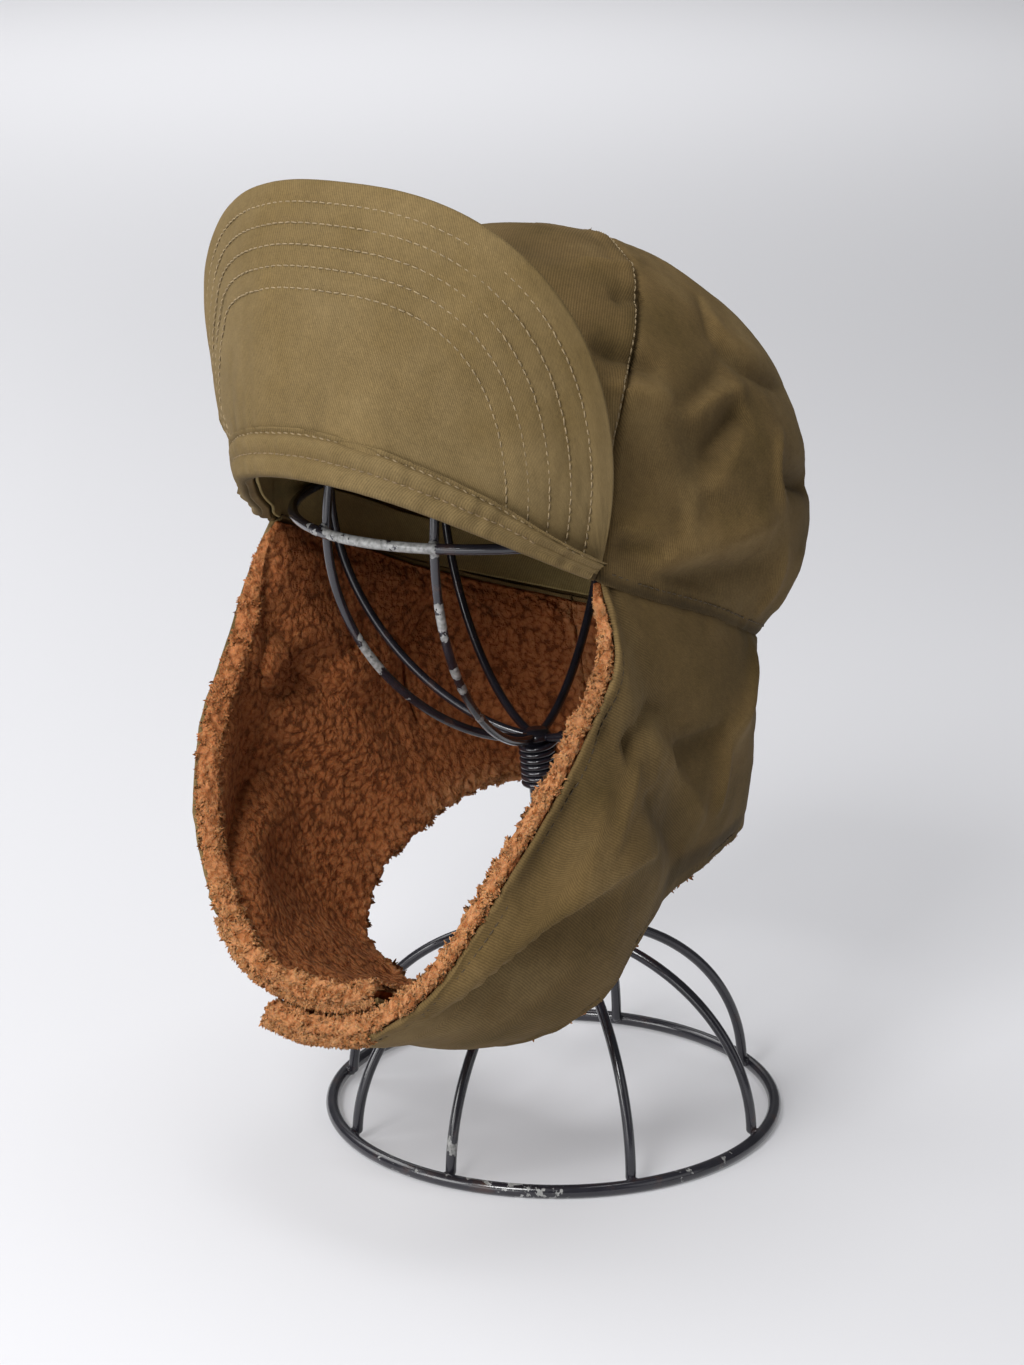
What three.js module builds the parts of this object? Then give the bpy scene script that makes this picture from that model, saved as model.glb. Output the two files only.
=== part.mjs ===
// Bomber cap on a wire hat stand, in millimetres.
// +Z is up, -Y is the front of the cap, +X is the wearer's left.
// Everything is laid out from the middle of the stand's base ring, and the whole is then
// moved along Y so that the origin is under the middle of its outer box.
import * as THREE from 'three';
import { mergeVertices } from 'three/addons/utils/BufferGeometryUtils.js';

const RAD = Math.PI / 180;
const V = (x, y, z) => new THREE.Vector3(x, y, z);

// Driving dimensions of the cap
const CAP_TILT = 24.1 * RAD; // the cap is tipped back on the stand
const RIM = {
  halfWidth: 77.2, front: 111.6, back: 84.1, middleY: -20.4, squareness: 2.23,
  height: 206.2, slope: -38.9, curve: 12, twist: -5,
};
const TEMPLE = -25.8 * RAD; // rim angle where peak, crown seam and ear flap meet
const CROWN = {
  apexY: 19.9, apexZ: 319.1, swell: 25.3, swellBack: 8.4, rise: 54.5, riseBack: -1.9,
  topWidth: 68.2, topWidthBack: 6,
};
const CROWN_WALL = 1.6;
const CROWN_TIP = 0.995; // share of each meridian that a panel covers
const FRONT_SEAM = { atRim: -27 * RAD, drift: -18 * RAD };
const BACK_SEAM = 47 * RAD;
const PANEL = { front: 16, side: 10, rows: 10 }; // facets across and up
const BAND = { wall: 1, clear: 0.5, from: 0.012, to: 0.0995 };
const PEAK = {
  height: 91.2, roundness: 3.67, shoulder: 1.266, halfAngle: 63.4 * RAD, wall: 2.4, standOff: 3.2,
  end: 0.985,
};
const PEAK_LEAN = [
  { power: 1, middle: 31.8, side: 24.5 },
  { power: 2, middle: -9.1, side: 18.6 },
  { power: 3, middle: -5.3, side: -2.9 },
];
const PEAK_BAND = { height: 12, wall: 1.4 };
const FLAP_WALL = 1.8;
const PILE = { wall: 7.6, seamWall: 3, seamShare: 0.1 };
const PILE_TOP = 0.016; // the pile starts just below the crown seam
const FLAP_TOP = 0.007;
const OVERLAP = { shift: 5.5, from: 0.74, to: 0.88, leftEnd: 1.036, rightEnd: 1.06 };
const NECK_SHARE = 0.108; // share of the flap's run that the neck piece takes on each side
const GAP = 0.3; // clearance between separate pieces

// Ear flap outline: front edge from temple to chin, rear edge from nape to chin
const FRONT_EDGE = [
  { x: 71.2, y: -70.2, z: 226.4 },
  { x: 80, y: -74.5, z: 203 },
  { x: 79, y: -87.5, z: 181 },
  { x: 76.5, y: -103, z: 160.5 },
  { x: 69.5, y: -116, z: 139 },
  { x: 59.5, y: -127.5, z: 118 },
  { x: 45.5, y: -136.5, z: 98.5 },
  { x: 25, y: -141, z: 83.5 },
  { x: 0, y: -140.5, z: 78 },
];
const REAR_EDGE = [
  { x: 0, y: 77.5, z: 103 },
  { x: 28, y: 69.5, z: 104 },
  { x: 48.5, y: 48.5, z: 106.5 },
  { x: 56.5, y: 20, z: 106.5 },
  { x: 58.5, y: -9, z: 100.5 },
  { x: 60.5, y: -34.5, z: 85.5 },
  { x: 53.5, y: -51, z: 63.5 },
  { x: 29, y: -64.5, z: 54 },
  { x: 0, y: -69, z: 51 },
];
const BULGE = [0, 1, 4, 8, 10, 10, 8, 4, 3]; // nape to chin, in equal steps
const FLAP_REACH = 0.12; // share of the run over which the flap's lie is averaged
const HEAD_MIDDLE = V(0, -35, 170);

// Broad dents and folds; depth is inwards, along and across are half lengths.
// The rough sizes turn a place on the cloth into millimetres.
const MERIDIAN = 200; // rim to apex
const DEGREE_WIDTH = 1.45; // one degree round the crown
const CROWN_AXIS_DROP = 110; // how far below the apex the dents point
const FLAP_RUN = 430; // nape to chin
const FLAP_DROP = 105; // top edge to lower edge
const CROWN_DENTS = [
  { angle: -12, share: 0.34, turn: 60, along: 24, across: 9, depth: 3.5 },
  { angle: -34, share: 0.41, turn: 90, along: 14, across: 9, depth: 2.5 },
  { angle: 28, share: 0.35, turn: 4, along: 26, across: 9, depth: 6 },
  { angle: 130, share: 0.22, turn: 40, along: 22, across: 9, depth: 4 },
  { angle: 200, share: 0.3, turn: 120, along: 24, across: 9, depth: 3.5 },
];
const FLAP_DENTS = [
  { run: 0.7, share: 0.5, turn: -63, along: 46, across: 9, depth: 3.5 },
  { run: 0.585, share: 0.13, turn: 20, along: 14, across: 8, depth: 3.5 },
  { run: 0.44, share: 0.44, turn: 70, along: 20, across: 8, depth: 3.5 },
];

// Driving dimensions of the stand
const BASE = {
  ring: 81.5, wire: 4.8, domeHeight: 68, ribWire: 3.8, ribEnd: 7, ribSeat: 0.7, ribLift: 2.02,
};
const RIB_ANGLES = [-70, -28, 9, 56.5, 102, 150.6, 198, 236]; // from the front, towards the left
const NECK = { radius: 4.3, topY: -11, topZ: 145, hub: 6.4, knob: 5.3, knobRim: 3, knobTop: 4 };
const COIL = { turns: 7, pitch: 2.35, wire: 2, from: 56.5 };
const HEAD_RING = { radius: 77.2, wire: 3.6, y: -22.7, z: 235, tiltX: 0.022, tiltY: -0.046 };
const CAGE = { wire: 3.2, start: 6.2, spread: 0.936, lift: 0.825, ringGap: 0.55, topBend: 1.05 };
const CAGE_ANGLES = [-121, -79, -23, 15.5, 97, 190];
const BOSS = { radius: 6.3, thickness: 4, y: -23, top: 326.4, clear: 6.6 };
const ROUND = { ring: 48, headRing: 40, wire: 6, stem: 16, coilTurn: 12 }; // facets

// Colours and finish
const finish = {
  twill: { color: 0x6f5f3c, roughness: 0.86, metalness: 0 },
  twillLining: { color: 0x665839, roughness: 0.88, metalness: 0 },
  pile: { color: 0xa8683a, roughness: 0.97, metalness: 0 },
  wire: { color: 0x26262b, roughness: 0.42, metalness: 0.85 },
};

// Smooth curve through evenly numbered points; u runs from 0 to 1
function through(points, u) {
  const last = points.length - 1;
  const k = Math.min(Math.max(u, 0), 1) * last;
  const i = Math.min(Math.floor(k), last - 1);
  const f = k - i;
  const p1 = points[i];
  const p2 = points[i + 1];
  const p0 = i > 0 ? points[i - 1] : p1.clone().multiplyScalar(2).sub(p2);
  const p3 = i + 2 <= last ? points[i + 2] : p2.clone().multiplyScalar(2).sub(p1);
  const bend = (a, b, c, d) => {
    const slope = 0.5 * (c - a);
    const nextSlope = 0.5 * (d - b);
    return b + slope * f + (3 * (c - b) - 2 * slope - nextSlope) * f * f
      + (2 * (b - c) + slope + nextSlope) * f * f * f;
  };
  return V(bend(p0.x, p1.x, p2.x, p3.x), bend(p0.y, p1.y, p2.y, p3.y), bend(p0.z, p1.z, p2.z, p3.z));
}

function mirrored(p) {
  return V(-p.x, p.y, p.z);
}

function smooth(value, from, to) {
  const f = Math.min(Math.max((value - from) / (to - from), 0), 1);
  return f * f * (3 - 2 * f);
}

// Soft oval hollows in a plane measured in millimetres from each row's middle
function hollow(rows, offsets) {
  return rows.reduce((sum, row) => {
    const [a, b] = offsets(row);
    const turn = row.turn * RAD;
    const x = a * Math.cos(turn) + b * Math.sin(turn);
    const y = b * Math.cos(turn) - a * Math.sin(turn);
    return sum + row.depth * Math.exp(-((x / row.along) ** 2) - (y / row.across) ** 2);
  }, 0);
}

// The rim: a rounded oval that rises towards the front
const capUp = V(0, Math.sin(CAP_TILT), Math.cos(CAP_TILT));

function rim(angle) {
  const c = Math.cos(angle);
  const s = Math.sin(angle);
  const n = RIM.squareness;
  const k = (Math.abs(c) ** n + Math.abs(s) ** n) ** (-1 / n);
  const reach = s < 0 ? RIM.front : RIM.back;
  const h = s * k;
  const z = RIM.height + RIM.slope * h + RIM.curve * h * h + RIM.twist * h ** 3;
  return V(RIM.halfWidth * c * k, reach * h + RIM.middleY, z);
}

function outward(angle) {
  const step = 0.001;
  const along = rim(angle + step).sub(rim(angle - step));
  return along.cross(capUp).normalize();
}

// The crown: each meridian is one cubic curve from the rim to the apex
function plainCrown(angle, share) {
  const start = rim(angle);
  const out = outward(angle);
  const s = Math.sin(angle);
  const apex = V(0, CROWN.apexY, CROWN.apexZ);
  const low = start.clone()
    .addScaledVector(out, CROWN.swell + CROWN.swellBack * s)
    .addScaledVector(capUp, CROWN.rise + CROWN.riseBack * s);
  const high = apex.clone().addScaledVector(out, CROWN.topWidth + CROWN.topWidthBack * s);
  return new THREE.CubicBezierCurve3(start, low, high, apex).getPoint(share);
}

function crownPoint(angle, share) {
  const point = plainCrown(angle, share);
  const depth = hollow(CROWN_DENTS, (row) => {
    const around = ((angle / RAD - row.angle + 540) % 360) - 180;
    return [around * DEGREE_WIDTH, (share - row.share) * MERIDIAN];
  });
  const axis = V(0, CROWN.apexY, CROWN.apexZ - CROWN_AXIS_DROP);
  const inwards = axis.sub(point).normalize();
  return point.addScaledVector(inwards, depth * smooth(share, 0, 0.05));
}

// The ear and neck flap is one band round the head: run 0 is the nape, 1 the middle of the chin
const frontEdge = FRONT_EDGE.map((p) => V(p.x, p.y, p.z));
const rearEdge = REAR_EDGE.map((p) => V(p.x, p.y, p.z));
const bulges = BULGE.map((b) => V(b, 0, 0));

function flapTop(run) {
  if (run <= 0.5) {
    return rim(Math.PI / 2 + (TEMPLE - Math.PI / 2) * 2 * run);
  }
  return through(frontEdge, 2 * run - 1);
}

function flapNormal(run) {
  const a = Math.max(run - FLAP_REACH, 0);
  const b = Math.min(run + FLAP_REACH, 1);
  const along = flapTop(b).add(through(rearEdge, b)).sub(flapTop(a)).sub(through(rearEdge, a));
  const down = through(rearEdge, run).sub(flapTop(run));
  const normal = down.cross(along).normalize();
  const middle = flapTop(run).add(through(rearEdge, run)).multiplyScalar(0.5).sub(HEAD_MIDDLE);
  return normal.multiplyScalar(Math.sign(normal.dot(middle)));
}

function flapHalf(run, share) {
  const normal = flapNormal(run);
  const depth = hollow(FLAP_DENTS, (row) => [
    (run - row.run) * FLAP_RUN, (share - row.share) * FLAP_DROP]);
  const out = 4 * share * (1 - share) * through(bulges, run).x - depth * smooth(share, 0, 0.08);
  return flapTop(run).lerp(through(rearEdge, run), share).addScaledVector(normal, out);
}

function flapPoint(run, share) {
  if (run < 0) {
    return mirrored(flapPoint(-run, share));
  }
  return run > 1 ? mirrored(flapHalf(2 - run, share)) : flapHalf(run, share);
}

// The peak is turned up; its outer face is the cloth that lies beneath when it is worn down
function peakHeight(across) {
  return PEAK.height * Math.max(0, 1 - Math.abs(across) ** PEAK.roundness) ** PEAK.shoulder;
}

function peakPoint(across, share) {
  const angle = -Math.PI / 2 + across * PEAK.halfAngle;
  const height = peakHeight(across) * share;
  const lean = PEAK_LEAN.reduce((sum, row) => (
    sum + (row.middle + row.side * across ** 2) * (height / 100) ** row.power), PEAK.standOff);
  return rim(angle).addScaledVector(outward(angle), lean).addScaledVector(capUp, height);
}

// Outward normal of a surface; seen from outside, u runs to the right and v runs up,
// or u runs to the left and v runs down
function surfaceNormal(surface, u, v) {
  const step = 0.002;
  const du = surface(u + step, v).sub(surface(u - step, v));
  const dv = surface(u, v + step).sub(surface(u, v - step));
  return du.cross(dv).normalize();
}

function bodyFrom(positions, triangles) {
  const geometry = new THREE.BufferGeometry();
  geometry.setAttribute('position', new THREE.Float32BufferAttribute(positions, 3));
  geometry.setIndex(triangles);
  const merged = mergeVertices(geometry, 1e-4);
  merged.computeVertexNormals();
  return merged;
}

// A wall of cloth on a surface: us by vs grid points, from inner to outer offset.
// A closed wall runs round and joins its last column to its first.
function wall({ surface, us, vs, inner, outer, closed = false }) {
  const positions = [];
  const columns = us.length;
  const rows = vs.length;
  for (const offset of [outer, inner]) {
    for (const u of us) {
      for (const v of vs) {
        const distance = typeof offset === 'function' ? offset(u, v) : offset;
        const point = surface(u, v).addScaledVector(surfaceNormal(surface, u, v), distance);
        positions.push(point.x, point.y, point.z);
      }
    }
  }
  const id = (side, i, j) => side * columns * rows + (i % columns) * rows + j;
  const triangles = [];
  const quad = (a, b, c, d) => triangles.push(a, b, c, a, c, d);
  const spans = closed ? columns : columns - 1;
  for (let i = 0; i < spans; i += 1) {
    for (let j = 0; j < rows - 1; j += 1) {
      quad(id(0, i, j), id(0, i + 1, j), id(0, i + 1, j + 1), id(0, i, j + 1));
      quad(id(1, i, j), id(1, i, j + 1), id(1, i + 1, j + 1), id(1, i + 1, j));
    }
    quad(id(0, i, 0), id(1, i, 0), id(1, i + 1, 0), id(0, i + 1, 0));
    quad(id(0, i, rows - 1), id(0, i + 1, rows - 1), id(1, i + 1, rows - 1), id(1, i, rows - 1));
  }
  if (!closed) {
    const end = columns - 1;
    for (let j = 0; j < rows - 1; j += 1) {
      quad(id(0, 0, j), id(0, 0, j + 1), id(1, 0, j + 1), id(1, 0, j));
      quad(id(0, end, j), id(1, end, j), id(1, end, j + 1), id(0, end, j + 1));
    }
  }
  return bodyFrom(positions, triangles);
}

function steps(from, to, count) {
  return Array.from({ length: count + 1 }, (_, i) => from + ((to - from) * i) / count);
}

const assembly = new THREE.Group();

function add(name, geometry, look, parent = assembly) {
  const mesh = new THREE.Mesh(geometry, new THREE.MeshStandardMaterial(finish[look]));
  mesh.name = name;
  parent.add(mesh);
  return mesh;
}

// Crown panels: u runs across a panel from 0 to 1, between seams that may drift
function frontSeam(share) {
  return FRONT_SEAM.atRim + FRONT_SEAM.drift * share;
}

function crownPanel(name, left, right, columns) {
  const surface = (u, share) => {
    const width = right(share) - left(share);
    const radius = Math.min(Math.max(CROWN.topWidth * 3 * (1 - share), 0.5), RIM.halfWidth);
    const trim = Math.min(GAP / 2 / radius, width / 5);
    return crownPoint(left(share) + trim + (width - 2 * trim) * u, share);
  };
  const vs = steps(0, CROWN_TIP, PANEL.rows);
  add(name, wall({
    surface, us: steps(0, 1, columns), vs, inner: -CROWN_WALL, outer: 0,
  }), 'twill');
}

function crown() {
  const half = Math.PI;
  crownPanel('crown_front', (s) => -half - frontSeam(s), frontSeam, PANEL.front);
  crownPanel('crown_side_left', frontSeam, () => BACK_SEAM, PANEL.side);
  crownPanel('crown_back', () => BACK_SEAM, () => half - BACK_SEAM, PANEL.side);
  crownPanel('crown_side_right', () => half - BACK_SEAM, (s) => half - frontSeam(s), PANEL.side);
}

// The band inside the rim has its edges where the crown panels have theirs
function sweatband() {
  const half = Math.PI;
  const front = frontSeam(0);
  const around = [
    ...steps(-half - front, front, PANEL.front).slice(0, -1),
    ...steps(front, BACK_SEAM, PANEL.side).slice(0, -1),
    ...steps(BACK_SEAM, half - BACK_SEAM, PANEL.side).slice(0, -1),
    ...steps(half - BACK_SEAM, half - front, PANEL.side).slice(0, -1),
  ];
  const row = CROWN_TIP / PANEL.rows;
  const surface = (angle, share) => crownPoint(angle, 0).lerp(crownPoint(angle, row), share / row);
  add('sweatband', wall({
    surface,
    us: around,
    vs: [BAND.from, BAND.to],
    inner: -CROWN_WALL - BAND.clear - BAND.wall,
    outer: -CROWN_WALL - BAND.clear,
    closed: true,
  }), 'twillLining');
}

function peak() {
  const across = steps(-90, 90, 22).map((a) => PEAK.end * Math.sin(a * RAD));
  add('peak', wall({
    surface: peakPoint, us: across, vs: steps(0, 1, 5), inner: -PEAK.wall, outer: 0,
  }), 'twill');
  const bandPoint = (u, v) => peakPoint(u, v * Math.min(1, PEAK_BAND.height / peakHeight(u)));
  add('peak_band', wall({
    surface: bandPoint, us: across, vs: [0, 1], inner: GAP, outer: GAP + PEAK_BAND.wall,
  }), 'twill');
}

// Flap pieces: the two ends lie over each other under the chin, the left one outside
function flapPiece(side, from, to, columns, outerShift) {
  const top = (run) => (Math.abs(run) <= 0.5 ? FLAP_TOP : 0);
  const pileTop = (run) => (Math.abs(run) <= 0.5 ? PILE_TOP : 0);
  const us = steps(from, to, columns);
  const vs = steps(0, 1, 7);
  const shifted = (run) => outerShift * smooth(Math.abs(run), OVERLAP.from, OVERLAP.to);
  const cloth = (u, v) => flapPoint(u, top(u) + (1 - top(u)) * v);
  const fleece = (u, v) => flapPoint(u, pileTop(u) + (1 - pileTop(u)) * v);
  const pileWall = (u, v) => {
    const open = smooth(Math.abs(u), 0.5, 0.54); // clear of the crown seam
    const swell = Math.max(open, smooth(v, 0, PILE.seamShare));
    return PILE.seamWall + (PILE.wall - PILE.seamWall) * swell;
  };
  const under = FLAP_WALL + 1.5 * GAP;
  add(side === 'neck' ? 'neck_flap' : `ear_flap_${side}`, wall({
    surface: cloth, us, vs, inner: (u) => shifted(u) - FLAP_WALL, outer: shifted,
  }), 'twill');
  add(`lining_${side}`, wall({
    surface: fleece,
    us,
    vs,
    inner: (u, v) => shifted(u) - under - pileWall(u, v),
    outer: (u) => shifted(u) - under,
  }), 'pile');
}

function flaps() {
  const seam = 0.0009; // half the cut between two pieces, as a share of the run
  flapPiece('neck', -NECK_SHARE + seam, NECK_SHARE - seam, 5, 0);
  flapPiece('left', NECK_SHARE + seam, OVERLAP.leftEnd, 20, OVERLAP.shift);
  flapPiece('right', -OVERLAP.rightEnd, -NECK_SHARE - seam, 20, -OVERLAP.shift);
}

// Stand: flat octagons turned into rings, round wires along curves
function ringBody(radius, wire, segments) {
  const flat = wire / 2 / Math.cos(Math.PI / 8);
  const profile = steps(0, 8, 8).map((k) => {
    const angle = (k % 8 + 0.5) * 45 * RAD;
    return new THREE.Vector2(radius + flat * Math.cos(angle), flat * Math.sin(angle));
  });
  const geometry = new THREE.LatheGeometry(profile, segments);
  geometry.rotateX(Math.PI / 2);
  return geometry;
}

function wireAlong(curve, wire, count) {
  const section = new THREE.Shape(Array.from({ length: ROUND.wire }, (_, k) => {
    const angle = (k * 2 * Math.PI) / ROUND.wire;
    return new THREE.Vector2((wire / 2) * Math.cos(angle), (wire / 2) * Math.sin(angle));
  }));
  return new THREE.ExtrudeGeometry(section, { extrudePath: curve, steps: count });
}

function heading(degrees) {
  return V(Math.sin(degrees * RAD), -Math.cos(degrees * RAD), 0);
}

function baseRing() {
  const ring = add('base_ring', ringBody(BASE.ring, BASE.wire, ROUND.ring), 'wire');
  ring.position.z = BASE.wire / 2;
  RIB_ANGLES.forEach((degrees, i) => {
    const inside = BASE.ring - BASE.wire / 2 - BASE.ribWire / 2 + BASE.ribSeat;
    const from = Math.asin(BASE.ribLift / BASE.domeHeight);
    const to = Math.acos(BASE.ribEnd / inside);
    const points = steps(from, to, 8).map((a) => heading(degrees)
      .multiplyScalar(inside * Math.cos(a))
      .add(V(0, 0, BASE.wire / 2 + BASE.domeHeight * Math.sin(a))));
    const curve = new THREE.CatmullRomCurve3(points);
    add(`base_rib_${i + 1}`, wireAlong(curve, BASE.ribWire, 8), 'wire');
  });
}

class Helix extends THREE.Curve {
  getPoint(t, target = new THREE.Vector3()) {
    const angle = t * COIL.turns * 2 * Math.PI;
    const radius = NECK.radius + 2 * GAP + COIL.wire / 2;
    const height = COIL.from + t * COIL.turns * COIL.pitch;
    return target.set(radius * Math.cos(angle), radius * Math.sin(angle), height);
  }
}

function neck() {
  const column = new THREE.Group();
  const foot = BASE.wire / 2 + BASE.domeHeight;
  column.position.z = foot;
  column.rotation.x = Math.atan2(-NECK.topY, NECK.topZ - foot);
  assembly.add(column);
  const knobFrom = COIL.from + COIL.turns * COIL.pitch + COIL.wire / 2 + GAP;
  const profile = [
    [0, -BASE.ribWire / 2], [NECK.hub, -BASE.ribWire / 2], [NECK.hub, BASE.ribWire / 2],
    [NECK.radius, BASE.ribWire], [NECK.radius, knobFrom], [NECK.knob, knobFrom],
    [NECK.knob, knobFrom + NECK.knobRim], [0, knobFrom + NECK.knobTop],
  ].map(([r, z]) => new THREE.Vector2(r, z));
  const stem = new THREE.LatheGeometry(profile, ROUND.stem);
  stem.rotateX(Math.PI / 2);
  add('neck_stem', stem, 'wire', column);
  add('neck_coil', wireAlong(new Helix(), COIL.wire, COIL.turns * ROUND.coilTurn), 'wire', column);
}

function cagePoint(degrees, turn) {
  const direction = heading(degrees);
  const reach = HEAD_RING.radius - HEAD_RING.wire / 2 - CAGE.ringGap - CAGE.wire / 2;
  const side = V(0, HEAD_RING.y, HEAD_RING.z).addScaledVector(direction, reach);
  side.z += HEAD_RING.radius * (HEAD_RING.tiltX * direction.y - HEAD_RING.tiltY * direction.x);
  if (turn <= 1) {
    const a = (turn * Math.PI) / 2;
    const from = V(0, NECK.topY, NECK.topZ);
    const spread = Math.sin(a) ** CAGE.spread;
    const lift = (1 - Math.cos(a)) ** CAGE.lift;
    return V(
      from.x + (side.x - from.x) * spread,
      from.y + (side.y - from.y) * spread,
      from.z + (side.z - from.z) * lift,
    );
  }
  const b = ((turn - 1) * Math.PI) / 2;
  const top = V(0, BOSS.y, BOSS.top - BOSS.thickness / 2);
  const spread = Math.cos(b) ** CAGE.topBend;
  return V(
    top.x + (side.x - top.x) * spread,
    top.y + (side.y - top.y) * spread,
    side.z + (top.z - side.z) * Math.sin(b),
  );
}

function cage() {
  const ring = add('head_ring', ringBody(HEAD_RING.radius, HEAD_RING.wire, ROUND.headRing), 'wire');
  ring.position.set(0, HEAD_RING.y, HEAD_RING.z);
  ring.rotation.set(HEAD_RING.tiltX, HEAD_RING.tiltY, 0);
  CAGE_ANGLES.forEach((degrees, i) => {
    const points = steps(0, 2, 200)
      .map((turn) => cagePoint(degrees, turn))
      .filter((p) => Math.hypot(p.x, p.y - NECK.topY) >= CAGE.start || p.z > HEAD_RING.z)
      .filter((p) => Math.hypot(p.x, p.y - BOSS.y) >= BOSS.clear || p.z < HEAD_RING.z);
    const guides = points.filter((p, k) => k % 12 === 0 || k === points.length - 1);
    const curve = new THREE.CatmullRomCurve3(guides);
    add(`cage_wire_${i + 1}`, wireAlong(curve, CAGE.wire, 16), 'wire');
  });
  const boss = new THREE.CylinderGeometry(BOSS.radius, BOSS.radius, BOSS.thickness, ROUND.stem);
  boss.rotateX(Math.PI / 2);
  boss.translate(0, BOSS.y, BOSS.top - BOSS.thickness / 2);
  add('cage_boss', boss, 'wire');
}

baseRing();
neck();
cage();
crown();
sweatband();
peak();
flaps();

const box = new THREE.Box3().setFromObject(assembly);
assembly.position.y = -(box.min.y + box.max.y) / 2;
assembly.position.x = -(box.min.x + box.max.x) / 2;
assembly.updateMatrixWorld(true);

export default assembly;
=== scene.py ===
import math

import bpy
import numpy as np
from mathutils import Matrix, Vector


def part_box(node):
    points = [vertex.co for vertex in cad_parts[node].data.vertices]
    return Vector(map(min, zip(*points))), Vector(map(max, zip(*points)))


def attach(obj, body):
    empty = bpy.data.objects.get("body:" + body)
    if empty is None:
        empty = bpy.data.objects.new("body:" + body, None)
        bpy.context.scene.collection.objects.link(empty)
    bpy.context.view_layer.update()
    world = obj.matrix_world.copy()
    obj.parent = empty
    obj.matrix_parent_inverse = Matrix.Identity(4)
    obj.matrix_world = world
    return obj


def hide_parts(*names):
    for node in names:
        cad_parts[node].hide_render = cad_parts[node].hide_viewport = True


# Bomber cap on a wire hat stand: cloth, fleece, stitching and worn paint around the fixed frame.
# Shapes are worked out in millimetres from the middle of the stand's base ring,
# with -Y the front of the cap, and are moved into the frame when a mesh is made.

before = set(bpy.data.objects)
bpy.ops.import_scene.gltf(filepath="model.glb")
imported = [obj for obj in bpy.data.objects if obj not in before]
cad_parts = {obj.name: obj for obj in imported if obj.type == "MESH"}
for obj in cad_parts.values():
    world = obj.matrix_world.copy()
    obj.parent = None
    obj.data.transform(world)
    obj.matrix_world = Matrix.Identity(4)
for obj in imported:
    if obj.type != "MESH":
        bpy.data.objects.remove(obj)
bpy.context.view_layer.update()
ring_low, ring_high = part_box("base_ring")
ORIGIN = np.array([(ring_low.x + ring_high.x) / 2, (ring_low.y + ring_high.y) / 2, 0.0])
MM = 0.001

# Driving dimensions of the cap
CAP_TILT = math.radians(24.1)
RIM = {
    "half_width": 77.2, "front": 111.6, "back": 84.1, "middle_y": -20.4, "squareness": 2.23,
    "height": 206.2, "slope": -38.9, "curve": 12.0, "twist": -5.0, "blend": 0.3,
}
TEMPLE = math.radians(-25.8)
CROWN = {
    "apex_y": 19.9, "apex_z": 319.1, "swell": 25.3, "swell_back": 8.4, "rise": 54.5,
    "rise_back": -1.9, "top_width": 68.2, "top_width_back": 6.0, "axis_drop": 110.0,
}
CROWN_WALL = 1.6
CROWN_FOOT = -0.009  # the crown's edge hangs a little over the flaps
# Width of a crown panel at its foot and halfway up
PANEL_FOOT = 150.0
PANEL_MIDDLE = 120.0
# The stitch rows' distances from the rim, a crown seam and a flap's edge
RIM_ROW = 3.0
SEAM_ROW = 2.1
HEM_ROW = 4.6
# Share of the way from the rim to the apex, angle in degrees
FRONT_SEAM = np.array([
    (0, -27.0), (0.14, -31.3), (0.24, -34.2), (0.39, -36.0), (0.5, -36.8), (0.58, -37.6), (0.64, -38.5),
    (0.70, -40.0), (0.77, -43.2), (0.842, -48.0), (1, -53.0),
])
BACK_SEAM = 47.0
PEAK = {
    "height": 91.2, "roundness": 3.67, "shoulder": 1.266, "half_angle": 63.4, "wall": 2.4,
    "stand_off": 3.2, "end": 0.985, "drawn_in": 0.02, "inset": 4.2,
}
BROW_REACH = 95.0  # mean reach of the brow from the rim's middle, over which its inset is scaled
PEAK_LEAN = [(1, 31.8, 24.5), (2, -9.1, 18.6), (3, -5.3, -2.9)]  # power, middle, side
PEAK_ROWS = [7.5, 14.3, 21.2, 28.1, 35.1]  # stitch rows, from the edge inwards
# Place across, lean, width, reach in mm, depth in mm
FOOT_CREASES = [
    (-0.47, 0.002, 0.022, 32, 0.9), (-0.36, 0.001, 0.016, 26, 0.7), (-0.27, -0.001, 0.02, 36, 0.8),
    (-0.17, 0.0, 0.014, 24, 0.5), (0.02, 0.001, 0.03, 60, 0.5), (0.33, -0.001, 0.03, 40, 0.4),
]
PEAK_HALF_WIDTH = 110.0
BAND_TOP_ROW = 11.6  # height of the upper stitch row in the roll's profile
# Place across the peak from its middle, height of the upper stitch row above the rim
BAND_ROW_HEIGHTS = np.array([
    (0, 11.8), (0.3, 10.8), (0.5, 9.3), (0.65, 7.6), (0.75, 5.4), (0.85, 3.7), (1, 2.7),
])
BAND_END = 0.945
BAND_STITCHED = [(10, 0.97), (25, 0.78)]  # place of each row round the roll, share of the band that it spans
# Height above the rim and distance in front of it, round the roll from behind its top edge to inside the rim
BAND_PROFILE = np.array([
    (13.2, 0.0), (13.4, 0.5), (13.0, 0.95), (12.2, 0.35), (11.6, -0.35), (10.8, 0.9), (9.4, 1.9),
    (8.0, 2.1), (6.6, 1.9), (5.4, 1.2), (4.8, 0.7), (4.2, 1.2), (3.0, 1.9), (1.6, 2.2), (0.2, 2.2),
    (-1.0, 1.7), (-1.8, 0.8), (-2.2, -0.6), (-2.1, -2.4), (-1.5, -4.0), (-0.4, -5.2), (1.2, -6.0),
    (3.0, -6.3), (4.6, -6.3), (5.0, -5.4),
])
# Place along a stitch, bow, girth
STITCH = np.array([(-0.5, -0.7, 0.35), (-0.34, 0.4, 0.95), (0, 1, 1), (0.34, 0.4, 0.95), (0.5, -0.7, 0.35)])
FLAP_WALL = 1.8
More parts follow.
